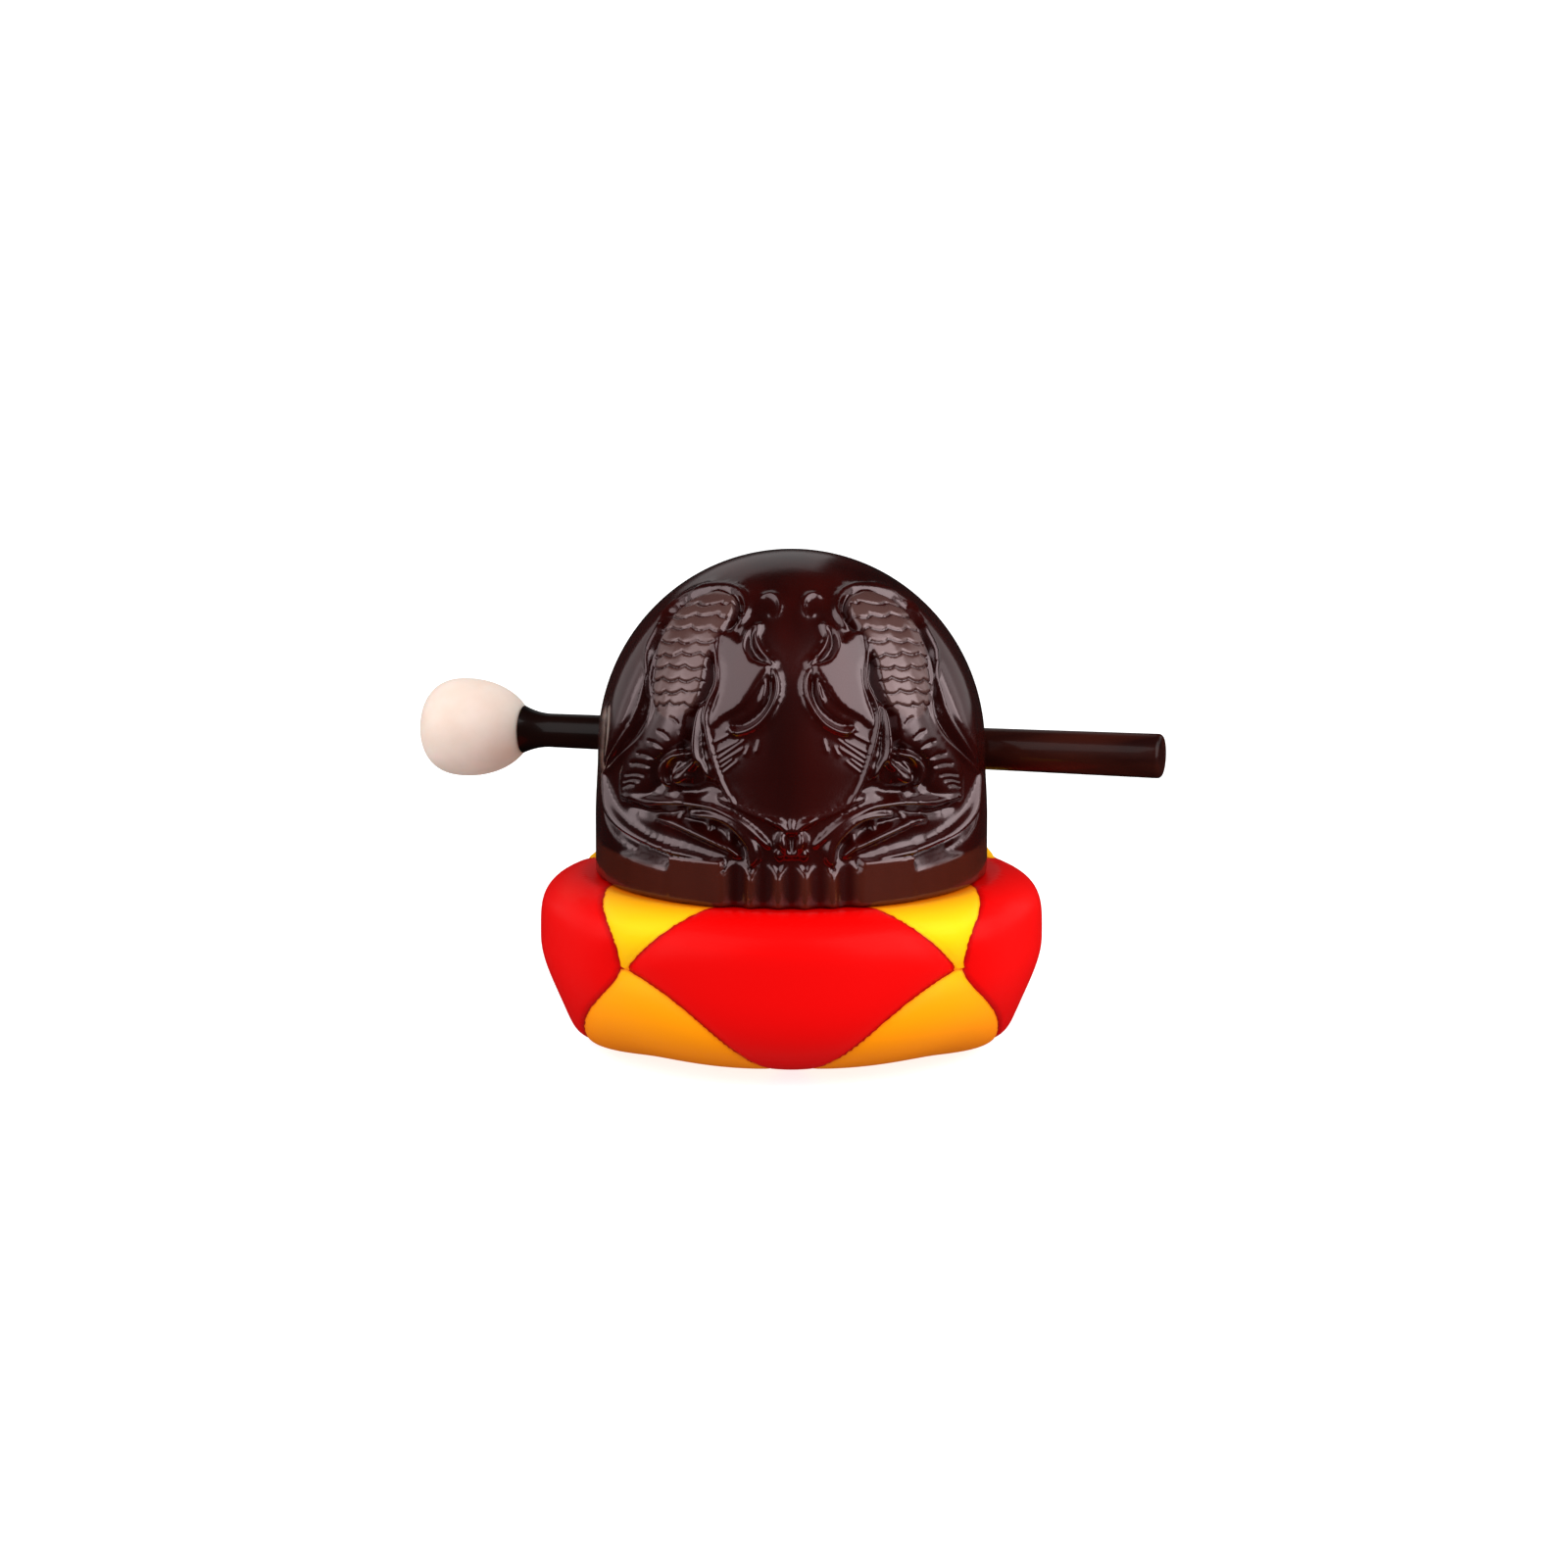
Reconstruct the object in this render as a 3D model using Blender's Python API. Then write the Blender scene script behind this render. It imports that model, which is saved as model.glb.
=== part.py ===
# A carved wooden fish drum that sits on its patchwork cushion, with its beater laid in the sound slit.
# Metres, +Z up. The carved side faces -Y, the slit faces +Y, and the cushion stands on Z = 0.
# The relief's own sizes are in millimetres, because a carver reads them that way.

import math

import bmesh
import bpy
import numpy as np
from mathutils import Matrix, Vector

mm = 0.001
gap = 0.3 * mm

# Drum: a half ball on an upright wall, on a flat round base
domeRadius = 50.0 * mm
shoulderRadius = 49.3 * mm
shoulderStart = 14.0 * mm
wallHeight = 32.4 * mm
baseRounding = 1.0 * mm
drumBase = 44.75 * mm
drumFaces = 7100
carvedFrom = -0.28
carvedTop = 0.88

# Sound slit and hollow, measured from the drum's base
slitFloor = 23.8 * mm
slitHeight = 13.4 * mm
slitEndDepth = 9.5 * mm
slitEndRadius = 7.0 * mm
hollowCentre = (0.0, 5.0 * mm, 38.0 * mm)
hollowRadii = (36.0 * mm, 34.0 * mm, 28.0 * mm)

# Cushion: a stuffed ball of twelve patches, flattened above and below, its seams in millimetres
cushionRadius = 65.2 * mm
cushionMiddle = 28.0 * mm
cushionRise = 19.5 * mm
cushionDrop = 28.5 * mm
topSquareness = 4.6
frontSquareness = 3.3
sideSquareness = 9.0
sideSharpness = 10.0
sideTaper = 0.105
taperDepth = 24.0 * mm
footSpread = 38.0 * mm
footDrop = 0.2 * mm
topGather = 2.76
bottomGather = 1.53
seamPull = 2.2
seamSpread = 5.0
crossingPull = 3.4
crossingSpread = 8.0
seamSteps = 40

# Tilt of each seam at its tip as a share of a right angle, and the bend of its run: first as it
# leaves the crossing, then as it comes to the tip
upperEndSeam = (0.8, 1.0, 1.77)
upperSideSeamFront = (0.66, 0.26, 1.0)
upperSideSeamBack = (0.62, 0.8, 1.6)
lowerEndSeam = (0.8, 1.85, 1.0)
lowerSideSeam = (0.60, 0.62, 1.0)

# Beater: the stick lies on the slit's floor, turned so that its plain end comes forward
stickYaw = math.radians(-15.3)
stickMiddleDepth = 24.0 * mm
stickHeadX = -70.0 * mm
stickLength = 170.5 * mm
stickHeadRadius = 4.4 * mm
stickEndRadius = 5.7 * mm
collarRadius = 6.2 * mm
collarLength = 7.5 * mm
stickSides = 16
headRadius = 12.8 * mm
headFront = 12.0 * mm
headBack = 17.4 * mm
headCut = 15.2 * mm
headSides = 24

# The relief is drawn on a plane in front of the drum and carried straight back onto it
drawingTilt = math.radians(12.0)
drawingDistance = 1500.0

# Strokes of one half of the relief: distance from the centre line, height above the base and half
# width along each stroke, then how far it stands out and how blunt its section is, from 1 for a
# low curve to 0.5 for a half round. The other half of the relief is the mirror image.
raisedStrokes = {
    "outerFin": ([
        (29.9, 67.8, 1.0), (33.9, 63.5, 2.0), (38.1, 57.5, 2.7), (41.1, 51.0, 3.3), (42.9, 44.0, 3.4),
        (44.6, 36.5, 2.8), (46.9, 28.2, 1.0),
    ], 1.0, 0.8),
    "neck": ([
        (30.1, 40.2, 5.0), (32.1, 36.5, 6.2), (34.9, 32.0, 6.4), (37.6, 27.8, 5.6), (39.6, 23.8, 4.6),
        (41.1, 20.0, 3.0),
    ], 1.9, 0.6),
    "hood": ([
        (27.9, 68.5, 0.6), (25.6, 69.9, 1.1), (22.4, 70.8, 1.3), (18.9, 71.1, 1.35), (15.6, 71.0, 1.35),
        (13.1, 69.9, 1.35), (11.6, 67.8, 1.3), (11.5, 65.2, 1.2), (12.6, 62.8, 0.8), (14.1, 61.0, 0.4),
    ], 1.6, 0.65),
    "finRidge": ([
        (32.9, 62.0, 0.4), (36.4, 55.5, 0.6), (37.1, 49.8, 0.65), (38.6, 44.8, 0.65), (41.4, 37.2, 0.6),
        (44.1, 32.0, 0.55), (47.4, 25.0, 0.35),
    ], 1.7, 0.75),
    "finEdge": ([
        (31.4, 59.5, 0.3), (34.4, 54.0, 0.5), (36.0, 48.0, 0.6), (36.0, 41.5, 0.6), (37.6, 36.2, 0.65),
        (39.9, 32.8, 0.65), (42.6, 30.0, 0.6), (47.4, 24.5, 0.35),
    ], 1.9, 0.75),
    "cheekLine": ([
        (18.6, 58.8, 0.3), (19.4, 55.0, 0.45), (19.1, 50.0, 0.5), (19.6, 46.2, 0.5), (21.4, 42.8, 0.5),
        (22.6, 38.8, 0.55), (22.2, 34.0, 0.6), (21.1, 29.0, 0.6), (19.4, 23.5, 0.6), (17.6, 19.2, 0.55),
        (15.4, 16.8, 0.35),
    ], 2.2, 0.7),
    "topCurl": ([
        (7.4, 68.8, 0.3), (5.9, 69.4, 0.6), (4.1, 69.0, 0.8), (3.0, 67.5, 0.75), (3.0, 65.5, 0.45),
        (3.9, 63.8, 0.25),
    ], 1.2, 0.8),
    "curlDot": ([(5.4, 65.0, 0.5), (5.4, 64.2, 0.5)], 0.8, 0.8),
    "clawOuter": ([
        (7.4, 62.0, 0.3), (9.4, 61.1, 0.65), (11.1, 59.8, 0.85), (11.9, 57.8, 0.8), (11.8, 55.5, 0.55),
        (10.4, 53.2, 0.35),
    ], 2.0, 0.7),
    "clawInner": ([
        (7.9, 61.2, 0.3), (9.0, 59.2, 0.65), (8.6, 57.0, 0.75), (7.4, 54.8, 0.8), (5.6, 52.9, 0.65),
        (4.1, 51.8, 0.25),
    ], 2.0, 0.7),
    "leafEdge": ([
        (5.1, 51.5, 0.3), (4.0, 49.0, 0.65), (3.6, 46.2, 0.75), (4.2, 43.5, 0.8), (5.5, 40.8, 0.8),
        (7.4, 38.1, 0.8), (9.6, 36.2, 0.8), (12.4, 34.9, 0.75), (15.1, 34.6, 0.5), (16.6, 35.8, 0.3),
    ], 2.0, 0.65),
    "leafVein": ([(5.6, 50.0, 0.3), (6.6, 47.5, 0.6), (7.2, 45.0, 0.55), (7.9, 42.8, 0.35)], 1.3, 0.7),
    "barbel": ([
        (23.5, 42.2, 0.25), (24.1, 39.2, 0.65), (24.6, 35.8, 1.05), (25.0, 32.0, 1.3),
        (24.9, 29.2, 1.25), (24.1, 27.5, 0.9),
    ], 3.2, 0.85),
    "barbelFork": ([(24.1, 27.8, 0.8), (23.1, 25.2, 0.6), (22.1, 22.8, 0.25)], 2.6, 0.7),
    "barbelRoot": ([(24.4, 28.2, 0.8), (26.1, 26.2, 1.0), (27.6, 24.8, 1.3)], 2.7, 0.7),
    "eye": ([(28.4, 23.5, 2.1), (29.0, 22.8, 2.1)], 3.6, 0.5),
    "brow": ([
        (26.1, 29.1, 0.5), (28.9, 29.2, 0.9), (31.6, 28.0, 1.25), (33.4, 25.8, 1.5), (33.5, 23.2, 1.25),
        (32.4, 21.0, 0.6),
    ], 2.8, 0.6),
    "lid": ([(29.4, 27.0, 0.3), (30.8, 25.2, 0.55), (31.0, 23.0, 0.5), (30.4, 21.0, 0.3)], 2.0, 0.7),
    "upperLip": ([
        (43.4, 18.5, 0.4), (40.6, 17.8, 1.1), (37.4, 16.9, 1.5), (33.9, 16.8, 1.2), (29.4, 16.6, 0.85),
        (25.4, 16.1, 0.75), (21.4, 15.4, 0.75), (17.9, 14.2, 0.75), (14.4, 12.5, 0.8),
        (11.1, 10.0, 0.8), (8.4, 7.5, 0.75), (5.9, 5.2, 0.4),
    ], 2.5, 0.7),
    "whisker": ([
        (19.6, 18.1, 0.3), (17.6, 16.9, 0.65), (15.1, 15.8, 0.6), (11.9, 14.2, 0.55), (8.9, 13.0, 0.5),
        (5.9, 12.0, 0.4),
    ], 1.7, 0.7),
    "innerLip": ([
        (27.1, 13.2, 0.3), (23.9, 13.4, 0.8), (20.4, 13.0, 1.15), (16.9, 11.8, 1.5), (14.1, 9.8, 1.9),
        (11.9, 7.4, 2.15), (10.2, 4.8, 2.05), (10.0, 2.2, 1.6), (10.6, 0.5, 0.8),
    ], 2.3, 0.6),
    "lowerLip": ([
        (35.8, 12.6, 0.3), (33.1, 12.1, 0.85), (30.1, 11.1, 1.05), (26.9, 9.6, 1.05), (23.4, 8.0, 1.05),
        (19.9, 6.4, 1.05), (16.4, 4.8, 0.95), (13.9, 3.0, 0.6),
    ], 2.3, 0.7),
    "tongue": ([(17.4, 8.5, 0.7), (16.6, 7.0, 1.0), (16.4, 5.5, 0.7)], 1.6, 0.7),
    "tooth": ([(22.6, 11.2, 0.8), (22.1, 10.0, 0.8)], 1.6, 0.6),
    "jaw": ([
        (47.6, 24.5, 0.4), (47.1, 20.5, 0.8), (45.9, 15.8, 1.05), (43.9, 12.0, 1.2), (40.9, 8.6, 1.3),
        (36.9, 6.1, 1.3), (32.4, 4.4, 1.25), (27.9, 3.4, 1.1), (23.9, 2.5, 0.8), (19.6, 1.4, 0.4),
    ], 2.6, 0.65),
    "noseWing": ([(6.6, 12.4, 0.3), (4.6, 11.5, 1.0), (2.6, 10.5, 1.2), (0.9, 9.0, 0.8)], 2.2, 0.7),
    "nostril": ([(2.6, 8.0, 1.0), (2.5, 6.5, 1.6), (2.1, 5.2, 1.3)], 2.9, 0.5),
    "noseBridge": ([(0.0, 11.2, 0.7), (0.0, 9.0, 1.0)], 2.0, 0.7),
    "chin": ([(3.4, 3.5, 1.0), (3.1, 2.8, 0.9)], 2.4, 0.6),
    "chinMiddle": ([(1.0, 3.8, 0.9), (1.0, 3.0, 0.9)], 2.4, 0.6),
}

# Strokes cut into the wood, with depth in place of height
cutStrokes = {
    "besideBody": ([
        (15.6, 69.1, 0.5), (13.8, 67.5, 1.0), (13.5, 65.2, 1.25), (14.9, 62.8, 1.15), (16.6, 61.0, 0.8),
        (18.6, 59.2, 0.7), (20.1, 57.2, 0.7), (20.8, 54.5, 0.75), (20.6, 49.5, 0.75), (21.4, 47.0, 0.9),
        (22.8, 44.8, 1.2), (24.4, 42.5, 1.1), (25.9, 39.5, 1.0), (26.6, 35.8, 1.2), (27.6, 32.5, 1.3),
        (29.4, 30.2, 1.0),
    ], 1.9, 0.8),
    "underHood": ([
        (29.9, 62.8, 0.3), (27.6, 65.5, 0.7), (25.1, 67.4, 0.75), (21.9, 68.9, 0.7), (18.6, 69.6, 0.6),
        (15.6, 69.4, 0.5),
    ], 1.4, 0.8),
    "hoodNotch": ([
        (26.4, 68.4, 0.3), (28.9, 66.8, 0.7), (31.1, 64.2, 0.7), (32.6, 61.8, 0.35),
    ], 1.1, 0.8),
    "finGroove": ([
        (31.9, 61.2, 0.4), (35.1, 55.5, 0.6), (36.6, 50.5, 0.6), (37.2, 45.5, 0.6), (38.0, 41.0, 0.6),
        (39.9, 36.5, 0.6), (42.9, 31.5, 0.5), (46.9, 25.5, 0.3),
    ], 1.3, 0.8),
    "finOuterGroove": ([
        (38.1, 48.5, 0.3), (39.9, 43.5, 0.55), (41.9, 38.0, 0.6), (44.4, 32.8, 0.55), (47.4, 26.5, 0.3),
    ], 0.9, 0.8),
    "clawHollow": ([(10.5, 58.8, 0.3), (10.4, 56.5, 0.7), (9.1, 54.5, 0.9), (7.1, 52.8, 0.5)], 0.8, 0.8),
    "leafHollow": ([
        (5.9, 48.5, 0.5), (5.6, 45.0, 0.9), (7.1, 41.5, 1.2), (9.9, 38.8, 1.3), (12.9, 37.0, 1.1),
        (15.4, 36.8, 0.6),
    ], 1.1, 0.8),
    "eyeSocket": ([
        (27.1, 30.8, 0.5), (30.6, 30.5, 0.8), (33.9, 28.5, 0.9), (35.9, 25.2, 0.9), (35.6, 22.0, 0.8),
        (34.1, 19.8, 0.5),
    ], 1.5, 0.8),
    "cheekHollow": ([
        (29.4, 19.5, 1.0), (25.6, 19.5, 1.7), (22.1, 20.5, 2.0), (19.1, 19.0, 1.0),
    ], 1.3, 0.8),
    "mouth": ([
        (29.4, 12.5, 0.4), (26.4, 11.8, 0.8), (22.9, 10.8, 1.3), (19.4, 9.2, 1.7), (16.1, 7.2, 1.6),
        (13.6, 5.0, 1.2), (12.6, 3.0, 0.6),
    ], 1.9, 0.8),
    "underLip": ([(41.9, 15.5, 0.5), (37.9, 14.2, 0.9), (32.9, 13.8, 0.8), (28.9, 14.8, 0.5)], 1.0, 0.8),
    "underJaw": ([
        (47.9, 17.0, 0.4), (47.1, 13.5, 0.8), (45.6, 10.8, 1.0), (42.9, 7.9, 1.25), (39.4, 5.5, 1.35),
        (35.6, 3.9, 1.2), (32.4, 2.8, 0.8),
    ], 1.9, 0.8),
}

bellyOutline = [
    (17.4, 60.8), (14.1, 59.5), (11.9, 57.0), (9.9, 53.8), (5.1, 51.5), (8.1, 46.2), (12.4, 41.1),
    (17.9, 38.0), (21.1, 35.5), (22.1, 38.0), (19.9, 43.5), (18.6, 49.5), (19.1, 55.0),
]
bellyRise = 1.0
bellyEdge = 0.9
bellyOuter = 18.0
bellyLean = 0.085

scaledBody = [
    (16.1, 66.9, 2.4), (18.6, 65.5, 4.4), (22.1, 62.9, 5.7), (25.1, 59.2, 6.4), (27.1, 55.2, 6.5),
    (28.2, 51.0, 6.4), (29.0, 47.2, 6.3), (29.9, 44.2, 5.7), (30.9, 42.0, 4.2),
]
scaledBodyHeight = 2.0
scaledBodyFlatness = 0.22
scaleTop = 66.6
scaleRowHeight = 3.05
scaleRows = 9
scaleColumns = 1.6
scaleSag = 0.75
scaleGroove = 0.5
scaleDepth = 0.7
scaleLift = 0.22
scaleWaver = 0.22

ribLine = [
    (30.1, 37.6), (34.6, 32.2), (38.4, 27.5), (40.4, 23.5), (41.5, 21.2),
]
ribCount = 8
ribLength = (2.4, 4.4)
ribWidth = 0.5
ribDepth = 0.6
ribBend = 0.35
ribTilt = (-0.75, 0.2)

# Band at the foot: plain sides, a taller grip in the middle, and flutes in the middle of the grip
sideBandHeight = 8.0
sideBandRise = 0.08
gripBandHeight = 11.4
gripHalfWidth = 31.0
gripStep = 0.25
fluteCount = 5
fluteWidth = 6.95
fluteDepth = 2.2
archDrop = 4.0
ledgeSlope = 0.8
gripSlope = 2.4
groundDepth = 2.4
groundTop = 72.0
groundBottom = 24.0
groundSide = (38.0, 47.0)
carvedDepth = (-4.0, -14.0)
rimFade = (45.5, 49.5)
softSteps = 1


def keep(mesh, name, colour, roughness):
    obj = bpy.data.objects.new(name, mesh)
    bpy.context.scene.collection.objects.link(obj)
    material = bpy.data.materials.new(name)
    material.use_nodes = True
    shader = material.node_tree.nodes["Principled BSDF"]
    shader.inputs["Base Color"].default_value = (*colour, 1.0)
    shader.inputs["Roughness"].default_value = roughness
    shader.inputs["Metallic"].default_value = 0.0
    mesh.materials.append(material)
    return obj


def meshFrom(bm, name):
    mesh = bpy.data.meshes.new(name)
    bm.to_mesh(mesh)
    bm.free()
    mesh.shade_smooth()
    mesh.set_sharp_from_angle(angle=math.radians(50.0))
    return mesh


def readPoints(mesh):
    points = np.empty(len(mesh.vertices) * 3)
    mesh.vertices.foreach_get("co", points)
    return points.reshape(-1, 3)


def writePoints(mesh, points):
    mesh.vertices.foreach_set("co", points.astype(np.float32).ravel())
    mesh.update()


# An even ball; the carved part of it is split once more, so that the relief has fine edges
def ballMesh(name, level, carved=False):
    bm = bmesh.new()
    bmesh.ops.create_icosphere(bm, subdivisions=level, radius=1.0)
    if carved:
        inFront = {v for v in bm.verts if v.co.y < carvedFrom and v.co.z < carvedTop}
        front = [e for e in bm.edges if inFront.issuperset(e.verts)]
        bmesh.ops.subdivide_edges(bm, edges=front, cuts=1, use_grid_fill=True)
        bmesh.ops.triangulate(bm, faces=bm.faces)
    mesh = bpy.data.meshes.new(name)
    bm.to_mesh(mesh)
    bm.free()
    return mesh


# Relief, all in millimetres

def smoothStep(low, high, value):
    t = np.clip((value - low) / (high - low), 0.0, 1.0)
    return t * t * (3.0 - 2.0 * t)


def smoothPath(points, steps=7, closed=False):
    knots = np.array(points, float)
    if closed:
        ends = np.vstack([knots[-1:], knots, knots[:2]])
    else:
        ends = np.vstack([2 * knots[0] - knots[1], knots, 2 * knots[-1] - knots[-2]])
    path = []
    for i in range(1, len(ends) - 2):
        a, b, c, d = ends[i - 1 : i + 3]
        for t in np.linspace(0.0, 1.0, steps, endpoint=False):
            path.append(b + 0.5 * t * (c - a + t * (2 * a - 5 * b + 4 * c - d + t * (3 * (b - c) + d - a))))
    if not closed:
        path.append(knots[-1])
    return np.array(path)


# For each point of the drawing: its distance from the stroke over the half width there,
# and which side of it, from -1 to 1.
def strokeFrame(across, up, points):
    path = smoothPath(points)
    nearest = np.full(across.shape, 9.0)
    side = np.zeros(across.shape)
    for a, b in zip(path[:-1], path[1:]):
        step = b[:2] - a[:2]
        length = float(np.hypot(*step))
        x = across - a[0]
        y = up - a[1]
        t = np.clip((x * step[0] + y * step[1]) / length**2, 0.0, 1.0)
        away = np.hypot(x - t * step[0], y - t * step[1]) / (a[2] + t * (b[2] - a[2]))
        closer = away < nearest
        nearest = np.where(closer, away, nearest)
        side = np.where(closer, np.sign(x * step[1] - y * step[0]) * away, side)
    return nearest, side


def profileOf(nearest, roundness):
    return np.clip(1.0 - nearest * nearest, 0.0, None) ** roundness


# Distance inside a closed outline, below zero outside it
def insideDepth(across, up, outline):
    loop = smoothPath(outline, closed=True)
    nearest = np.full(across.shape, 99.0)
    inside = np.zeros(across.shape, bool)
    for a, b in zip(loop, np.roll(loop, -1, axis=0)):
        step = b - a
        t = np.clip(((across - a[0]) * step[0] + (up - a[1]) * step[1]) / (step @ step), 0.0, 1.0)
        nearest = np.minimum(nearest, np.hypot(across - a[0] - t * step[0], up - a[1] - t * step[1]))
        if a[1] != b[1]:
            meets = a[0] + (up - a[1]) / step[1] * step[0]
            inside ^= ((a[1] > up) != (b[1] > up)) & (across < meets)
    return np.where(inside, nearest, -nearest)


# Rows of scales whose free lower edges hang in arcs, each row half a scale aside of the last
def scaleRelief(up, side, mirror):
    height = np.zeros(up.shape)
    above = None
    for k in range(scaleRows):
        column = side * scaleColumns + 0.5 * (k % 2) + 0.13 * math.sin(2.3 * k) * mirror
        place = 2.0 * (column - np.floor(column)) - 1.0
        waver = scaleWaver * np.sin(1.9 * k + mirror + 3.0 * side)
        edge = scaleTop - k * scaleRowHeight - scaleSag * (1.0 - place * place) + waver
        height -= scaleDepth * np.clip(1.0 - np.abs(up - edge) / scaleGroove, 0.0, None)
        if above is not None:
            between = (up <= above) & (up > edge)
            height += np.where(between, scaleLift * (above - up) / scaleRowHeight, 0.0)
        above = edge
    return height


# Top edge of the plain band at the foot, with arches over the flutes
def bandTop(across):
    middle = np.abs(across)
    flute = np.round(across / fluteWidth)
    offset = (across - flute * fluteWidth) / (0.5 * fluteWidth)
    fluted = middle < 0.5 * fluteCount * fluteWidth
    inGrip = middle < gripHalfWidth
    arch = gripBandHeight - archDrop * (1.0 - np.sqrt(1.0 - np.clip(offset * offset, 0.0, 1.0)))
    side = sideBandHeight + sideBandRise * (middle - gripHalfWidth)
    top = np.where(fluted, arch, np.where(inGrip, gripBandHeight, side))
    wall = np.where(fluted, -fluteDepth * (1.0 - offset * offset), np.where(inGrip, 0.0, -gripStep))
    return top, wall, inGrip


def bandRelief(across, height, above):
    top, wall, inGrip = bandTop(across)
    ledge = wall + np.clip(-np.where(inGrip, gripSlope, ledgeSlope) * (height - top), None, 0.0)
    return np.maximum(ledge, np.where(height > top, above, -9.0))


def reliefHeight(points):
    farness = 1.0 + points[:, 1] * math.cos(drawingTilt) / drawingDistance
    across = np.abs(points[:, 0]) / farness
    up = points[:, 2] * math.cos(drawingTilt) + points[:, 1] * math.sin(drawingTilt)
    up = up / farness
    mirror = np.sign(points[:, 0])
    low = 1.0 - smoothStep(groundBottom, groundTop, up)
    level = -groundDepth * low * (1.0 - smoothStep(*groundSide, across))
    height = level.copy()
    depth = insideDepth(across, up, bellyOutline)
    rise = bellyRise + bellyLean * (bellyOuter - across)
    height += rise * smoothStep(0.0, bellyEdge, depth)
    for route, rise, roundness in raisedStrokes.values():
        nearest = strokeFrame(across, up, route)[0]
        height = np.maximum(height, level + rise * profileOf(nearest, roundness))
    line = smoothPath(ribLine)
    for i in range(ribCount):
        t = i / (ribCount - 1)
        x, y = line[int(round(t * (len(line) - 1)))]
        lean = ribTilt[0] + t * (ribTilt[1] - ribTilt[0])
        reach = 0.5 * (ribLength[0] + math.sin(math.pi * t) * (ribLength[1] - ribLength[0]))
        step = np.array((-math.cos(lean), math.sin(lean))) * reach
        wide = ribWidth
        route = [
            (x - step[0], y - step[1], 0.6 * wide),
            (x, y + ribBend, wide),
            (x + step[0], y + step[1], 0.6 * wide),
        ]
        height -= ribDepth * profileOf(strokeFrame(across, up, route)[0], 1.0)
    for route, depth, roundness in cutStrokes.values():
        height -= depth * profileOf(strokeFrame(across, up, route)[0], roundness)
    nearest, side = strokeFrame(across, up, scaledBody)
    body = level + scaledBodyHeight * profileOf(nearest, scaledBodyFlatness)
    body += scaleRelief(up, side, mirror)
    height = np.where(nearest < 1.0, np.maximum(height, body), height)
    banded = bandRelief(points[:, 0], points[:, 2], height)
    height = np.where(points[:, 2] < gripBandHeight + 5.0, banded, height)
    return height * smoothStep(*carvedDepth, points[:, 1]) * (1.0 - smoothStep(*rimFade, across))


# A point of the unit ball carried onto the drum's plain outer shape, with the way the carving goes
def drumSkin(ball):
    radius, wall, rounding = domeRadius / mm, wallHeight / mm, baseRounding / mm
    flat = np.maximum(np.hypot(ball[:, 0], ball[:, 1]), 1e-9)
    turn = ball[:, :2] / flat[:, None]
    upper = ball[:, 2] >= 0.0
    straight = wall - rounding
    quarter = 0.5 * math.pi * rounding
    whole = straight + quarter + radius - rounding
    run = np.arcsin(np.clip(-ball[:, 2], 0.0, 1.0)) / (0.5 * math.pi) * whole
    bend = np.clip((run - straight) / rounding, 0.0, 0.5 * math.pi)
    inward = np.clip(run - straight - quarter, 0.0, None)
    out = radius - rounding * (1.0 - np.cos(bend)) - inward
    down = np.minimum(run, straight) + rounding * np.sin(bend)
    skin = np.empty_like(ball)
    skin[:, :2] = turn * np.where(upper, radius * flat, out)[:, None]
    skin[:, 2] = np.where(upper, wall + radius * ball[:, 2], wall - down)
    way = np.empty_like(ball)
    way[:, :2] = turn * np.where(upper, flat, (np.clip(out / radius, 0.0, 1.0)) ** 8)[:, None]
    way[:, 2] = np.where(upper, ball[:, 2], 0.0)
    narrowing = smoothStep(shoulderStart / mm, wall, skin[:, 2])
    skin[:, :2] *= (1.0 - (1.0 - shoulderRadius / domeRadius) * narrowing)[:, None]
    return skin, way


def hiddenCutter(bm, name):
    bmesh.ops.recalc_face_normals(bm, faces=bm.faces)
    mesh = bpy.data.meshes.new(name)
    bm.to_mesh(mesh)
    bm.free()
    cutter = bpy.data.objects.new(name, mesh)
    bpy.context.scene.collection.objects.link(cutter)
    cutter.location = (0.0, 0.0, drumBase)
    cutter.hide_render = True
    cutter.display_type = "WIRE"
    return cutter


def cutAway(obj, cutter):
    modifier = obj.modifiers.new(cutter.name, "BOOLEAN")
    modifier.object = cutter
    modifier.operation = "DIFFERENCE"
    modifier.solver = "EXACT"


def hollowCutter():
    bm = bmesh.new()
    bmesh.ops.create_uvsphere(bm, u_segments=24, v_segments=14, radius=1.0)
    bmesh.ops.scale(bm, vec=hollowRadii, verts=bm.verts)
    bmesh.ops.translate(bm, vec=hollowCentre, verts=bm.verts)
    return hiddenCutter(bm, "hollow")


def slitCutter():
    bm = bmesh.new()
    reach = 2.0 * domeRadius
    size = (2.0 * reach, reach, slitHeight)
    centre = (0.0, slitEndDepth + 0.5 * reach, slitFloor + 0.5 * slitHeight)
    place = Matrix.Translation(centre) @ Matrix.Diagonal((*size, 1.0))
    bmesh.ops.create_cube(bm, size=1.0, matrix=place)
    return hiddenCutter(bm, "slit")


def slitEndCutter():
    bm = bmesh.new()
    place = Matrix.Translation((0.0, slitEndDepth, slitFloor + 0.5 * slitHeight)) @ Matrix.Rotation(
        0.5 * math.pi, 4, "Y"
    )
    bmesh.ops.create_cone(
        bm,
        cap_ends=True,
        segments=24,
        radius1=slitEndRadius,
        radius2=slitEndRadius,
        depth=4.0 * domeRadius,
        matrix=place,
    )
    return hiddenCutter(bm, "slit_ends")


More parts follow.
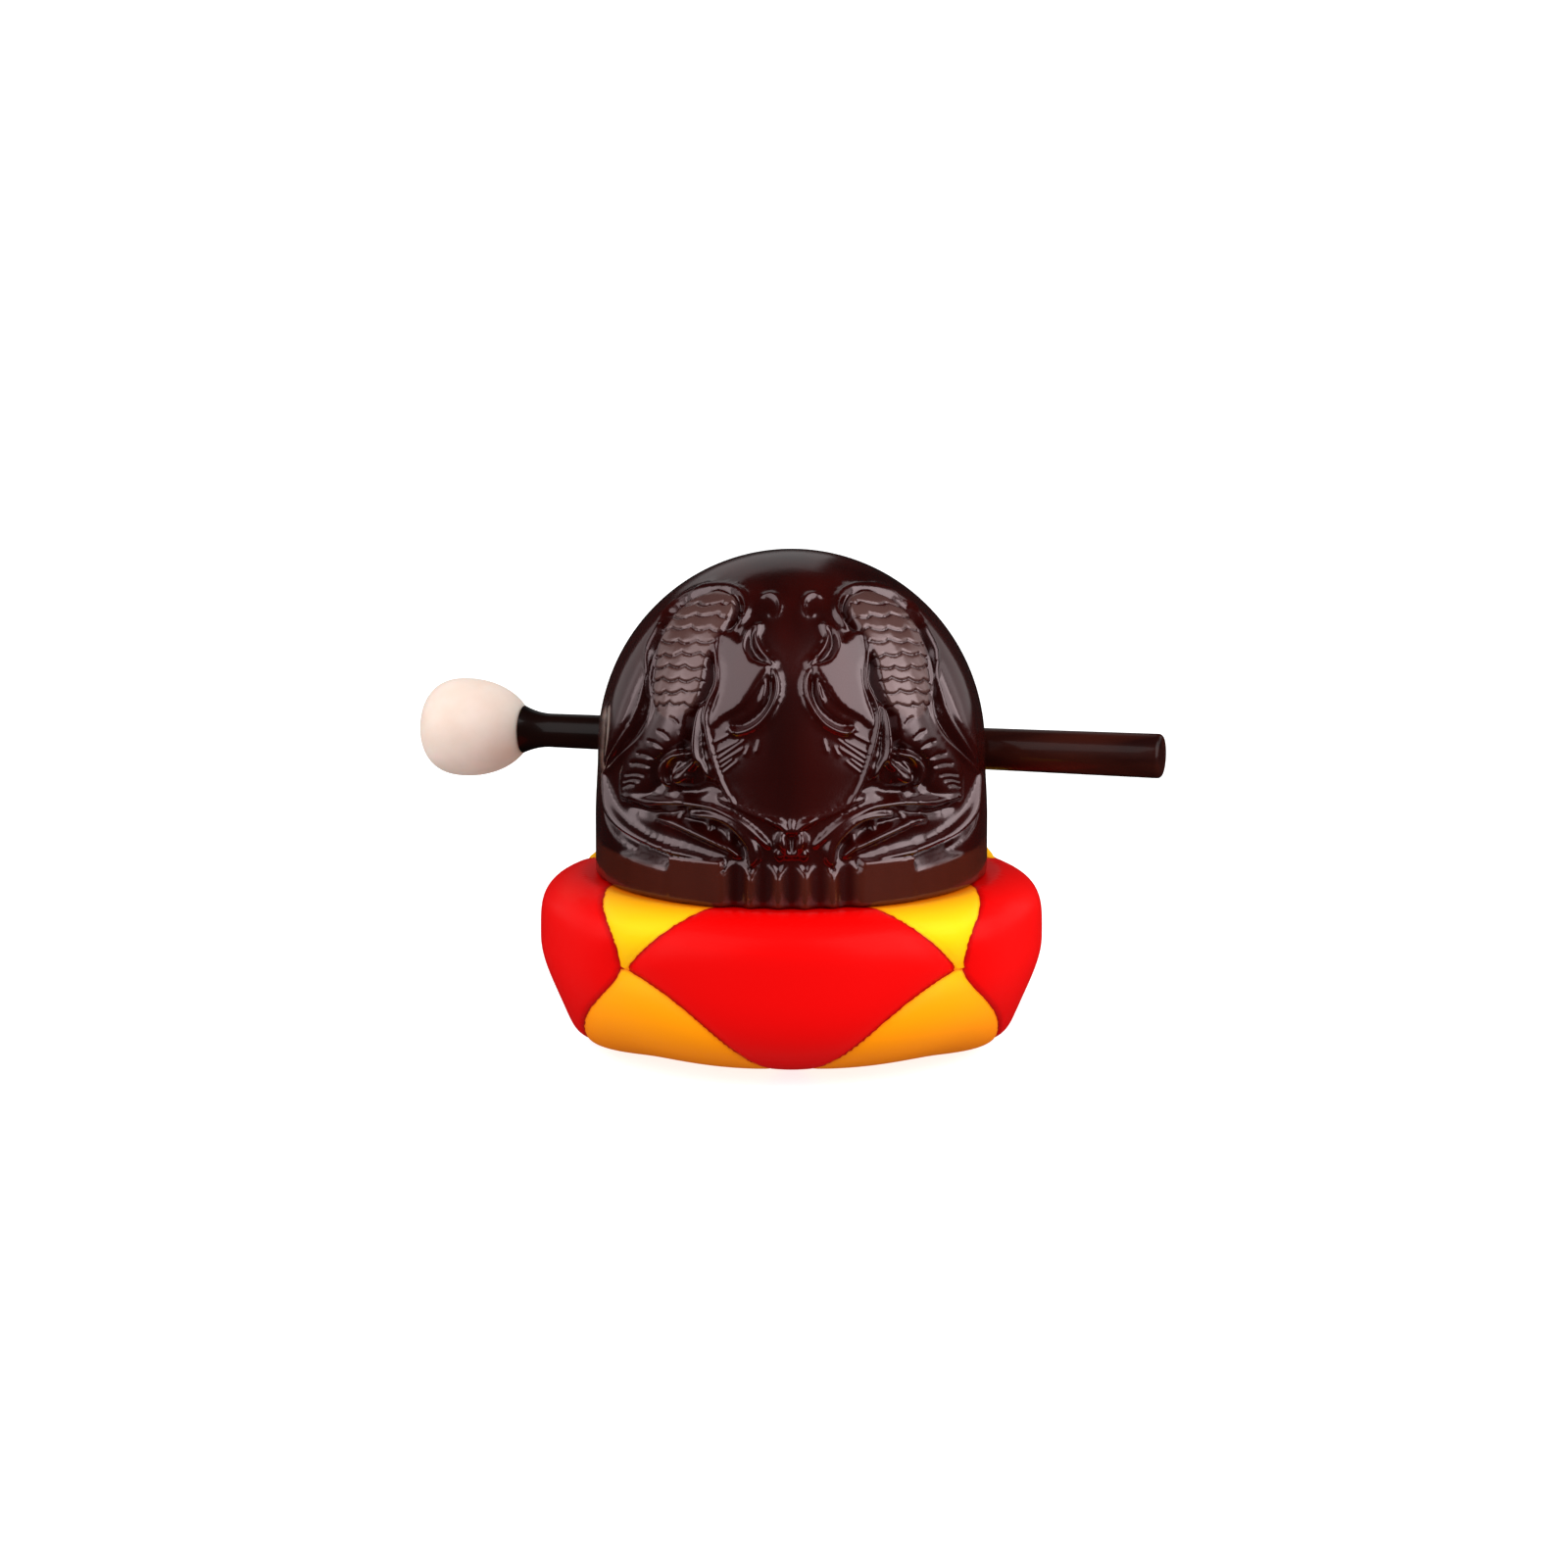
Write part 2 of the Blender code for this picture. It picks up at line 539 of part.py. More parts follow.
# Knife edges softened by thick lacquer
def softened(mesh, height):
    ends = np.empty(2 * len(mesh.edges), np.int64)
    mesh.edges.foreach_get("vertices", ends)
    ends = ends.reshape(-1, 2)
    count = np.bincount(ends.ravel(), minlength=len(height))
    for _ in range(softSteps):
        total = np.bincount(ends[:, 0], height[ends[:, 1]], len(height))
        total += np.bincount(ends[:, 1], height[ends[:, 0]], len(height))
        height = 0.4 * height + 0.6 * total / count
    return height


def makeDrum():
    mesh = ballMesh("fish_body", 7, carved=True)
    skin, way = drumSkin(readPoints(mesh))
    carved = skin + way * softened(mesh, reliefHeight(skin))[:, None]
    writePoints(mesh, carved * mm + np.array((0.0, 0.0, drumBase)))
    mesh.shade_smooth()
    drum = keep(mesh, "fish_body", (0.055, 0.006, 0.004), 0.25)
    thin = drum.modifiers.new("fewer_faces", "DECIMATE")
    thin.ratio = drumFaces / len(mesh.polygons)
    cutAway(drum, hollowCutter())
    cutAway(drum, slitCutter())
    cutAway(drum, slitEndCutter())
    return drum


# Cushion

# The twelve patches: four red ones around the middle, four yellow ones above and four below
def gathered(tilt, gather):
    quarter = 0.5 * math.pi
    return quarter * (1.0 - (1.0 - tilt / quarter) ** gather)


def seamCurve(run, seam):
    tip, leaving, coming = seam
    return tip * (1.0 - (1.0 - run**leaving) ** coming)


# Tilt of the seam above or below the red patch at an azimuth, as a share of a right angle
def seamTilt(azimuth, above):
    turn = azimuth / (0.5 * math.pi)
    patch = np.round(turn)
    run = np.clip(1.0 - 2.0 * np.abs(turn - patch), 0.0, 1.0)
    isSide = patch % 2.0 < 0.5
    sideFront = seamCurve(run, upperSideSeamFront)
    sideBack = seamCurve(run, upperSideSeamBack)
    upper = np.where(np.sin(azimuth) < 0.0, sideFront, sideBack)
    upper = np.where(isSide, upper, seamCurve(run, upperEndSeam))
    lower = np.where(isSide, seamCurve(run, lowerSideSeam), seamCurve(run, lowerEndSeam))
    return np.where(above, upper, lower)


def cushionPoint(azimuth, tilt, pull):
    above = tilt > 0.0
    side = np.abs(np.cos(azimuth))
    lowerSquareness = frontSquareness + (sideSquareness - frontSquareness) * side**sideSharpness
    squareness = np.where(above, topSquareness, lowerSquareness)
    out, rise = np.cos(tilt), np.abs(np.sin(tilt))
    reach = (out**squareness + rise**squareness) ** (-1.0 / squareness)
    height = np.where(above, cushionRise, -cushionDrop) * reach * rise
    taper = 1.0 - sideTaper * side**4 * smoothStep(0.0, taperDepth, -height)
    radius = (cushionRadius - pull * mm) * reach * out * taper
    height = np.clip(cushionMiddle + height, footDrop, drumBase - gap)
    return np.stack([radius * np.cos(azimuth), radius * np.sin(azimuth), height], axis=1)


# Distances in millimetres to the nearest seam and to the nearest crossing of seams
def seamDistances(points):
    azimuth = np.linspace(-math.pi, math.pi, 8 * seamSteps + 1)
    crossing = np.arange(4) * 0.5 * math.pi + 0.25 * math.pi
    curves = []
    for above in (True, False):
        tilt = seamTilt(azimuth, above) * 0.5 * math.pi * (1.0 if above else -1.0)
        curves.append(cushionPoint(azimuth, tilt, 0.0))
    seams = np.vstack(curves)
    corners = cushionPoint(crossing, np.zeros(4), 0.0)
    found = []
    for targets in (seams, corners):
        away = np.full(len(points), 99.0)
        for target in targets:
            away = np.minimum(away, np.linalg.norm(points - target, axis=1))
        found.append(away / mm)
    return found


# The underside is flat but for three low points that the cushion stands on
def makeCushion():
    mesh = ballMesh("cushion", 4)
    ball = readPoints(mesh)
    azimuth = np.arctan2(ball[:, 1], ball[:, 0])
    tilt = np.arcsin(np.clip(np.abs(ball[:, 2]), 0.0, 1.0))
    above = ball[:, 2] > 0.0
    tilt = np.where(above, gathered(tilt, topGather), -gathered(tilt, bottomGather))
    seam, crossing = seamDistances(cushionPoint(azimuth, tilt, 0.0))
    pull = seamPull * np.exp(-seam / seamSpread) + crossingPull * np.exp(-crossing / crossingSpread)
    points = cushionPoint(azimuth, tilt, pull)
    for k in range(3):
        turn = (0.5 + 2.0 * k / 3.0) * math.pi
        spot = (footSpread * math.cos(turn), footSpread * math.sin(turn), footDrop)
        points[np.argmin(np.linalg.norm(points - spot, axis=1)), 2] = 0.0
    writePoints(mesh, points)
    mesh.shade_smooth()
    return keep(mesh, "cushion", (0.75, 0.02, 0.01), 0.45)


# Beater

def turned(name, outline, sides):
    bm = bmesh.new()
    verts = [bm.verts.new((along, 0.0, radius)) for along, radius in outline]
    edges = [bm.edges.new(pair) for pair in zip(verts[:-1], verts[1:])]
    bmesh.ops.spin(
        bm,
        geom=verts + edges,
        cent=(0.0, 0.0, 0.0),
        axis=(1.0, 0.0, 0.0),
        angle=2.0 * math.pi,
        steps=sides,
        use_merge=True,
    )
    bmesh.ops.remove_doubles(bm, verts=bm.verts, dist=0.00001)
    bmesh.ops.recalc_face_normals(bm, faces=bm.faces)
    return meshFrom(bm, name)


def stickOutline():
    steps = 5
    outline = [(0.0, 0.0)]
    for i in range(steps + 1):
        t = i / steps
        flare = (collarRadius - stickHeadRadius) * (1.0 - t) ** 2
        outline.append((t * collarLength, stickHeadRadius + flare))
    corner = 1.2 * mm
    for i in range(4):
        bend = 0.5 * math.pi * i / 3
        outline.append(
            (
                stickLength - corner * (1.0 - math.sin(bend)),
                stickEndRadius - corner * (1.0 - math.cos(bend)),
            )
        )
    outline.append((stickLength, 0.0))
    return outline


def headOutline():
    frontSteps, backSteps = 7, 6
    outline = []
    for i in range(frontSteps + 1):
        bend = 0.5 * math.pi * i / frontSteps
        outline.append((-headFront * math.cos(bend) ** 0.8, headRadius * math.sin(bend) ** 0.8))
    for i in range(1, backSteps + 1):
        along = headCut * i / backSteps
        outline.append((along, headRadius * math.sqrt(1.0 - (along / headBack) ** 2)))
    outline.append((headCut, 0.0))
    return outline


# The stick's thick end lifts its axis a little, so that its underside lies flat on the slit's floor
def beaterPlace():
    lift = math.asin((stickEndRadius - stickHeadRadius) / stickLength)
    start = Vector(
        (
            stickHeadX,
            stickMiddleDepth + stickHeadX * math.tan(stickYaw),
            drumBase + slitFloor + gap + stickHeadRadius,
        )
    )
    return Matrix.Translation(start) @ Matrix.Rotation(stickYaw, 4, "Z") @ Matrix.Rotation(-lift, 4, "Y")


def makeBeater():
    place = beaterPlace()
    stickMesh = turned("mallet_stick", stickOutline(), stickSides)
    stick = keep(stickMesh, "mallet_stick", (0.02, 0.008, 0.006), 0.3)
    stick.matrix_world = place
    headMesh = turned("mallet_head", headOutline(), headSides)
    head = keep(headMesh, "mallet_head", (0.95, 0.78, 0.68), 0.5)
    head.matrix_world = place @ Matrix.Translation((-headCut - gap, 0.0, 0.0))


for old in list(bpy.data.objects):
    bpy.data.objects.remove(old)

makeDrum()
makeCushion()
makeBeater()
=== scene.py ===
# A carved wooden fish drum on its patchwork satin cushion, with its beater in the slit.
# Metres, +Z up. The sizes of the drum, the cushion and the beater are in millimetres.
import math

import bmesh
import bpy
import numpy as np
from mathutils import Matrix, Vector
from mathutils.kdtree import KDTree


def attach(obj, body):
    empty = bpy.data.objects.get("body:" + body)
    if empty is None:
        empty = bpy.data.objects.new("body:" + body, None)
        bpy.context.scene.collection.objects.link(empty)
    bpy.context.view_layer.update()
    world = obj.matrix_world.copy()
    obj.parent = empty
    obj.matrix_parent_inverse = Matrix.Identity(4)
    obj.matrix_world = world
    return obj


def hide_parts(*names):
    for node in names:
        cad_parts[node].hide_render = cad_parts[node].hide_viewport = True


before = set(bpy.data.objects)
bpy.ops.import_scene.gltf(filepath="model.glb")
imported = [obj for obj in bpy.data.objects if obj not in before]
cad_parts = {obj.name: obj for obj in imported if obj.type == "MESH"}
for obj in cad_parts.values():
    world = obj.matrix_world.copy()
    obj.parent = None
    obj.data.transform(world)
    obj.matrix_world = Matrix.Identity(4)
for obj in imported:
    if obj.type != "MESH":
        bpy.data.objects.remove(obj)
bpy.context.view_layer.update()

mm = 0.001
scene = bpy.context.scene


# Camera, floor and lights

cameraView = {
    "tilt": math.radians(11.0),
    "distance": 1.5,
    "aim": (-0.0019, 0.0, 0.067),
    "lens": 135.0,
    "sensor": 36.0,
    "clipEnd": 20.0,
}


def addCamera():
    data = bpy.data.cameras.new("photoCamera")
    data.lens = cameraView["lens"]
    data.sensor_width = cameraView["sensor"]
    data.clip_end = cameraView["clipEnd"]
    camera = bpy.data.objects.new("photoCamera", data)
    scene.collection.objects.link(camera)
    back = Vector((0.0, -math.cos(cameraView["tilt"]), math.sin(cameraView["tilt"])))
    camera.location = Vector(cameraView["aim"]) + back * cameraView["distance"]
    camera.rotation_euler = (0.5 * math.pi - cameraView["tilt"], 0.0, 0.0)
    scene.camera = camera


studio = {
    "floorSize": 20.0,
    "floorColour": (0.5, 0.5, 0.5),
    "floorRoughness": 0.8,
    "floorGlow": 0.8,
    "aim": (0.0, 0.0, 0.08),
    # name, direction, distance, width, height, radiance
    "panels": [
        ("leftPanel", (-0.73, -0.48, 0.49), 0.95, 1.05, 1.10, 1.8),
        ("rightPanel", (0.73, -0.48, 0.49), 0.95, 1.05, 1.10, 2.9),
        ("leftFill", (-0.95, -0.06, 0.30), 0.95, 0.8, 0.64, 0.6),
        ("rightFill", (0.95, -0.06, 0.30), 0.95, 0.8, 0.64, 0.75),
        ("leftRim", (-0.82, 0.50, 0.28), 1.0, 0.7, 0.52, 0.5),
        ("rightRim", (0.82, 0.50, 0.28), 1.0, 0.7, 0.52, 0.6),
        ("backPanel", (-0.10, 0.85, 0.50), 1.1, 0.5, 0.65, 0.38),
    ],
    "skyForCamera": 1.0,
    "skyForShade": 0.95,
    "skyForGloss": 0.015,
}


def addPanel(name, direction, distance, width, height, radiance):
    data = bpy.data.lights.new(name, "AREA")
    data.shape = "RECTANGLE"
    data.size = width
    data.size_y = height
    data.energy = radiance * math.pi * width * height
    light = bpy.data.objects.new(name, data)
    scene.collection.objects.link(light)
    toward = Vector(direction).normalized()
    light.location = Vector(studio["aim"]) + toward * distance
    light.rotation_euler = (-toward).to_track_quat("-Z", "Y").to_euler()
    light.visible_camera = False


def addFloor():
    bm = bmesh.new()
    bmesh.ops.create_grid(bm, x_segments=1, y_segments=1, size=0.5 * studio["floorSize"])
    mesh = bpy.data.meshes.new("floor")
    bm.to_mesh(mesh)
    bm.free()
    floor = bpy.data.objects.new("floor", mesh)
    scene.collection.objects.link(floor)
    material = bpy.data.materials.new("paleFloor")
    material.use_nodes = True
    shader = material.node_tree.nodes["Principled BSDF"]
    shader.inputs["Base Color"].default_value = (*studio["floorColour"], 1.0)
    shader.inputs["Roughness"].default_value = studio["floorRoughness"]
    shader.inputs["Emission Color"].default_value = (1.0, 1.0, 1.0, 1.0)
    shader.inputs["Emission Strength"].default_value = studio["floorGlow"]
    mesh.materials.append(material)
    floor.visible_glossy = False
    floor.visible_diffuse = False


# A sky that is pale to the camera, a little darker to dull surfaces and nearly black to glossy ones
def addSky():
    world = bpy.data.worlds.new("paleRoom")
    scene.world = world
    world.use_nodes = True
    world.cycles.sampling_method = "NONE"
    tree = world.node_tree
    tree.nodes.clear()
    output = tree.nodes.new("ShaderNodeOutputWorld")
    path = tree.nodes.new("ShaderNodeLightPath")
    last = None
    rays = ((None, "skyForShade"), ("Is Glossy Ray", "skyForGloss"), ("Is Camera Ray", "skyForCamera"))
    for ray, strength in rays:
        sky = tree.nodes.new("ShaderNodeBackground")
        sky.inputs["Strength"].default_value = studio[strength]
        if last is None:
            last = sky
            continue
        mix = tree.nodes.new("ShaderNodeMixShader")
        tree.links.new(path.outputs[ray], mix.inputs[0])
        tree.links.new(last.outputs[0], mix.inputs[1])
        tree.links.new(sky.outputs[0], mix.inputs[2])
        last = mix
    tree.links.new(last.outputs[0], output.inputs[0])


def addStudio():
    addFloor()
    for panel in studio["panels"]:
        addPanel(*panel)
    addSky()
    scene.view_settings.view_transform = "Standard"
    scene.view_settings.look = "None"


# Mesh helpers

def readPoints(mesh):
    points = np.empty(len(mesh.vertices) * 3)
    mesh.vertices.foreach_get("co", points)
    return points.reshape(-1, 3)


def writePoints(mesh, points):
    mesh.vertices.foreach_set("co", points.astype(np.float32).ravel())
    mesh.update()


def writeAttribute(mesh, name, values):
    layer = mesh.attributes.new(name, "FLOAT", "POINT")
    layer.data.foreach_set("value", values.astype(np.float32))


def addObject(mesh, name, material=None):
    obj = bpy.data.objects.new(name, mesh)
    scene.collection.objects.link(obj)
    if material:
        mesh.materials.append(material)
    return obj


def meshOf(bm, name):
    mesh = bpy.data.meshes.new(name)
    bm.to_mesh(mesh)
    bm.free()
    return mesh


# Relief tools, in millimetres. A stroke is drawn as far as its reach, in half widths; what lies
# outside of it is far away.

strokeReach = 1.3
far = 9.0


def smoothStep(low, high, value):
    t = np.clip((value - low) / (high - low), 0.0, 1.0)
    return t * t * (3.0 - 2.0 * t)


def smoothPath(points, steps=8, closed=False):
    knots = np.array(points, float)
    if closed:
        ends = np.vstack([knots[-1:], knots, knots[:2]])
    else:
        ends = np.vstack([2 * knots[0] - knots[1], knots, 2 * knots[-1] - knots[-2]])
    path = []
    for i in range(1, len(ends) - 2):
        a, b, c, d = ends[i - 1 : i + 3]
        for t in np.linspace(0.0, 1.0, steps, endpoint=False):
            path.append(b + 0.5 * t * (c - a + t * (2 * a - 5 * b + 4 * c - d + t * (3 * (b - c) + d - a))))
    if not closed:
        path.append(knots[-1])
    return np.array(path)


# For each drawn point: distance from the stroke over its half width, and the side it lies on
def strokeFrame(across, up, points):
    path = smoothPath(points)
    reach = strokeReach * path[:, 2].max()
    low, high = path[:, :2].min(axis=0) - reach, path[:, :2].max(axis=0) + reach
    near = (across > low[0]) & (across < high[0]) & (up > low[1]) & (up < high[1])
    x0, y0 = across[near], up[near]
    nearest = np.full(x0.shape, far)
    side = np.zeros(x0.shape)
    for a, b in zip(path[:-1], path[1:]):
        step = b[:2] - a[:2]
        x, y = x0 - a[0], y0 - a[1]
        t = np.clip((x * step[0] + y * step[1]) / (step @ step), 0.0, 1.0)
        away = np.hypot(x - t * step[0], y - t * step[1]) / (a[2] + t * (b[2] - a[2]))
        closer = away < nearest
        nearest = np.where(closer, away, nearest)
        side = np.where(closer, np.sign(x * step[1] - y * step[0]) * away, side)
    full = [np.full(across.shape, fill) for fill in (far, 0.0)]
    for whole, part in zip(full, (nearest, side)):
        whole[near] = part
    return full


def profileOf(nearest, roundness):
    return np.clip(1.0 - nearest * nearest, 0.0, None) ** roundness


# Drum

drum = {
    "radius": 50.0,
    "shoulderRadius": 49.3,
    "shoulderStart": 14.0,
    "wall": 32.4,
    "rounding": 1.0,
    "base": 44.75,
    "ballLevel": 6,
    "carvedFrom": -0.26,
    "carvedTop": 0.90,
    "carvedBottom": -0.60,
    # cuts, and the least step in height along an edge that is cut
    "splits": [(2, 0.0), (1, 0.16)],
    "softSteps": 8,
    "softShare": 0.6,
    "sharpAngle": math.radians(60.0),
    "baseFade": 8,
    "slitFloor": 23.8,
    "slitHeight": 13.4,
    "slitEndDepth": 9.5,
    "slitEndRadius": 7.0,
    "hollowCentre": (0.0, 5.0, 38.0),
    "hollowRadii": (36.0, 34.0, 28.0),
    "hollowSegments": (64, 40),
    "slitEndSegments": 48,
    "drawingTilt": math.radians(12.0),
    "drawingDistance": 1500.0,
}

ground = {
    "depth": 2.4,
    "top": 72.0,
    "bottom": 24.0,
    "side": (38.0, 47.0),
    "carvedDepth": (-4.0, -14.0),
    "rimFade": (45.5, 49.5),
}

# Each stroke: distance from the centre line, height above the base, half width; then rise, bluntness
raisedStrokes = {
    "outerFin": ([
        (29.9, 67.8, 1.0), (33.9, 63.5, 2.0), (38.1, 57.5, 2.7), (41.1, 51.0, 3.3), (42.9, 44.0, 3.4),
        (44.6, 36.5, 2.8), (46.9, 28.2, 1.0),
    ], 1.0, 0.8),
    "neck": ([
        (30.1, 40.2, 5.0), (32.1, 36.5, 6.2), (34.9, 32.0, 6.4), (37.6, 27.8, 5.6), (39.6, 23.8, 4.6),
        (41.1, 20.0, 3.0),
    ], 1.9, 0.6),
    "hood": ([
        (27.9, 68.5, 0.6), (25.6, 69.9, 1.1), (22.4, 70.8, 1.3), (18.9, 71.1, 1.35), (15.6, 71.0, 1.35),
        (13.1, 69.9, 1.35), (11.6, 67.8, 1.3), (11.5, 65.2, 1.2), (12.6, 62.8, 0.8), (14.1, 61.0, 0.4),
    ], 1.6, 0.65),
    "finRidge": ([
        (32.9, 62.0, 0.4), (36.4, 55.5, 0.6), (37.1, 49.8, 0.65), (38.6, 44.8, 0.65), (41.4, 37.2, 0.6),
        (44.1, 32.0, 0.55), (47.4, 25.0, 0.35),
    ], 1.7, 0.75),
    "finEdge": ([
        (31.4, 59.5, 0.3), (34.4, 54.0, 0.5), (36.0, 48.0, 0.6), (36.0, 41.5, 0.6), (37.6, 36.2, 0.65),
        (39.9, 32.8, 0.65), (42.6, 30.0, 0.6), (47.4, 24.5, 0.35),
    ], 1.9, 0.75),
    "cheekLine": ([
        (18.6, 58.8, 0.3), (19.4, 55.0, 0.45), (19.1, 50.0, 0.5), (19.6, 46.2, 0.5), (21.4, 42.8, 0.5),
        (22.6, 38.8, 0.55), (22.2, 34.0, 0.6), (21.1, 29.0, 0.6), (19.4, 23.5, 0.6), (17.6, 19.2, 0.55),
        (15.4, 16.8, 0.35),
    ], 2.2, 0.7),
    "topCurl": ([
        (7.4, 68.8, 0.3), (5.9, 69.4, 0.6), (4.1, 69.0, 0.8), (3.0, 67.5, 0.75), (3.0, 65.5, 0.45),
        (3.9, 63.8, 0.25),
    ], 1.2, 0.8),
    "curlDot": ([(5.4, 65.0, 0.5), (5.4, 64.2, 0.5)], 0.8, 0.8),
    "clawOuter": ([
        (7.4, 62.0, 0.3), (9.4, 61.1, 0.65), (11.1, 59.8, 0.85), (11.9, 57.8, 0.8), (11.8, 55.5, 0.55),
        (10.4, 53.2, 0.35),
    ], 2.0, 0.7),
    "clawInner": ([
        (7.9, 61.2, 0.3), (9.0, 59.2, 0.65), (8.6, 57.0, 0.75), (7.4, 54.8, 0.8), (5.6, 52.9, 0.65),
        (4.1, 51.8, 0.25),
    ], 2.0, 0.7),
    "leafEdge": ([
        (5.1, 51.5, 0.3), (4.0, 49.0, 0.65), (3.6, 46.2, 0.75), (4.2, 43.5, 0.8), (5.5, 40.8, 0.8),
        (7.4, 38.1, 0.8), (9.6, 36.2, 0.8), (12.4, 34.9, 0.75), (15.1, 34.6, 0.5), (16.6, 35.8, 0.3),
    ], 2.0, 0.65),
    "leafVein": ([(5.6, 50.0, 0.3), (6.6, 47.5, 0.6), (7.2, 45.0, 0.55), (7.9, 42.8, 0.35)], 1.3, 0.7),
    "barbel": ([
        (23.5, 42.2, 0.25), (24.1, 39.2, 0.65), (24.6, 35.8, 1.05), (25.0, 32.0, 1.3),
        (24.9, 29.2, 1.25), (24.1, 27.5, 0.9),
    ], 3.2, 0.85),
    "barbelFork": ([(24.1, 27.8, 0.8), (23.1, 25.2, 0.6), (22.1, 22.8, 0.25)], 2.6, 0.7),
    "barbelRoot": ([(24.4, 28.2, 0.8), (26.1, 26.2, 1.0), (27.6, 24.8, 1.3)], 2.7, 0.7),
    "eye": ([(28.4, 23.5, 2.1), (29.0, 22.8, 2.1)], 3.6, 0.5),
    "brow": ([
        (26.1, 29.1, 0.5), (28.9, 29.2, 0.9), (31.6, 28.0, 1.25), (33.4, 25.8, 1.5), (33.5, 23.2, 1.25),
        (32.4, 21.0, 0.6),
    ], 2.8, 0.6),
    "lid": ([(29.4, 27.0, 0.3), (30.8, 25.2, 0.55), (31.0, 23.0, 0.5), (30.4, 21.0, 0.3)], 2.0, 0.7),
    "upperLip": ([
        (43.4, 18.5, 0.4), (40.6, 17.8, 1.1), (37.4, 16.9, 1.5), (33.9, 16.8, 1.2), (29.4, 16.6, 0.85),
        (25.4, 16.1, 0.75), (21.4, 15.4, 0.75), (17.9, 14.2, 0.75), (14.4, 12.5, 0.8),
        (11.1, 10.0, 0.8), (8.4, 7.5, 0.75), (5.9, 5.2, 0.4),
    ], 2.5, 0.7),
    "whisker": ([
        (19.6, 18.1, 0.3), (17.6, 16.9, 0.65), (15.1, 15.8, 0.6), (11.9, 14.2, 0.55), (8.9, 13.0, 0.5),
        (5.9, 12.0, 0.4),
    ], 1.7, 0.7),
    "innerLip": ([
        (27.1, 13.2, 0.3), (23.9, 13.4, 0.8), (20.4, 13.0, 1.15), (16.9, 11.8, 1.5), (14.1, 9.8, 1.9),
        (11.9, 7.4, 2.15), (10.2, 4.8, 2.05), (10.0, 2.2, 1.6), (10.6, 0.5, 0.8),
    ], 2.3, 0.6),
    "lowerLip": ([
        (35.8, 12.6, 0.3), (33.1, 12.1, 0.85), (30.1, 11.1, 1.05), (26.9, 9.6, 1.05), (23.4, 8.0, 1.05),
        (19.9, 6.4, 1.05), (16.4, 4.8, 0.95), (13.9, 3.0, 0.6),
    ], 2.3, 0.7),
    "tongue": ([(17.4, 8.5, 0.7), (16.6, 7.0, 1.0), (16.4, 5.5, 0.7)], 1.6, 0.7),
    "tooth": ([(22.6, 11.2, 0.8), (22.1, 10.0, 0.8)], 1.6, 0.6),
    "jaw": ([
        (47.6, 24.5, 0.4), (47.1, 20.5, 0.8), (45.9, 15.8, 1.05), (43.9, 12.0, 1.2), (40.9, 8.6, 1.3),
        (36.9, 6.1, 1.3), (32.4, 4.4, 1.25), (27.9, 3.4, 1.1), (23.9, 2.5, 0.8), (19.6, 1.4, 0.4),
    ], 2.6, 0.65),
    "noseWing": ([(6.6, 12.4, 0.3), (4.6, 11.5, 1.0), (2.6, 10.5, 1.2), (0.9, 9.0, 0.8)], 2.2, 0.7),
    "nostril": ([(2.6, 8.0, 1.0), (2.5, 6.5, 1.6), (2.1, 5.2, 1.3)], 2.9, 0.5),
    "noseBridge": ([(0.0, 11.2, 0.7), (0.0, 9.0, 1.0)], 2.0, 0.7),
    "chin": ([(3.4, 3.5, 1.0), (3.1, 2.8, 0.9)], 2.4, 0.6),
    "chinMiddle": ([(1.0, 3.8, 0.9), (1.0, 3.0, 0.9)], 2.4, 0.6),
}

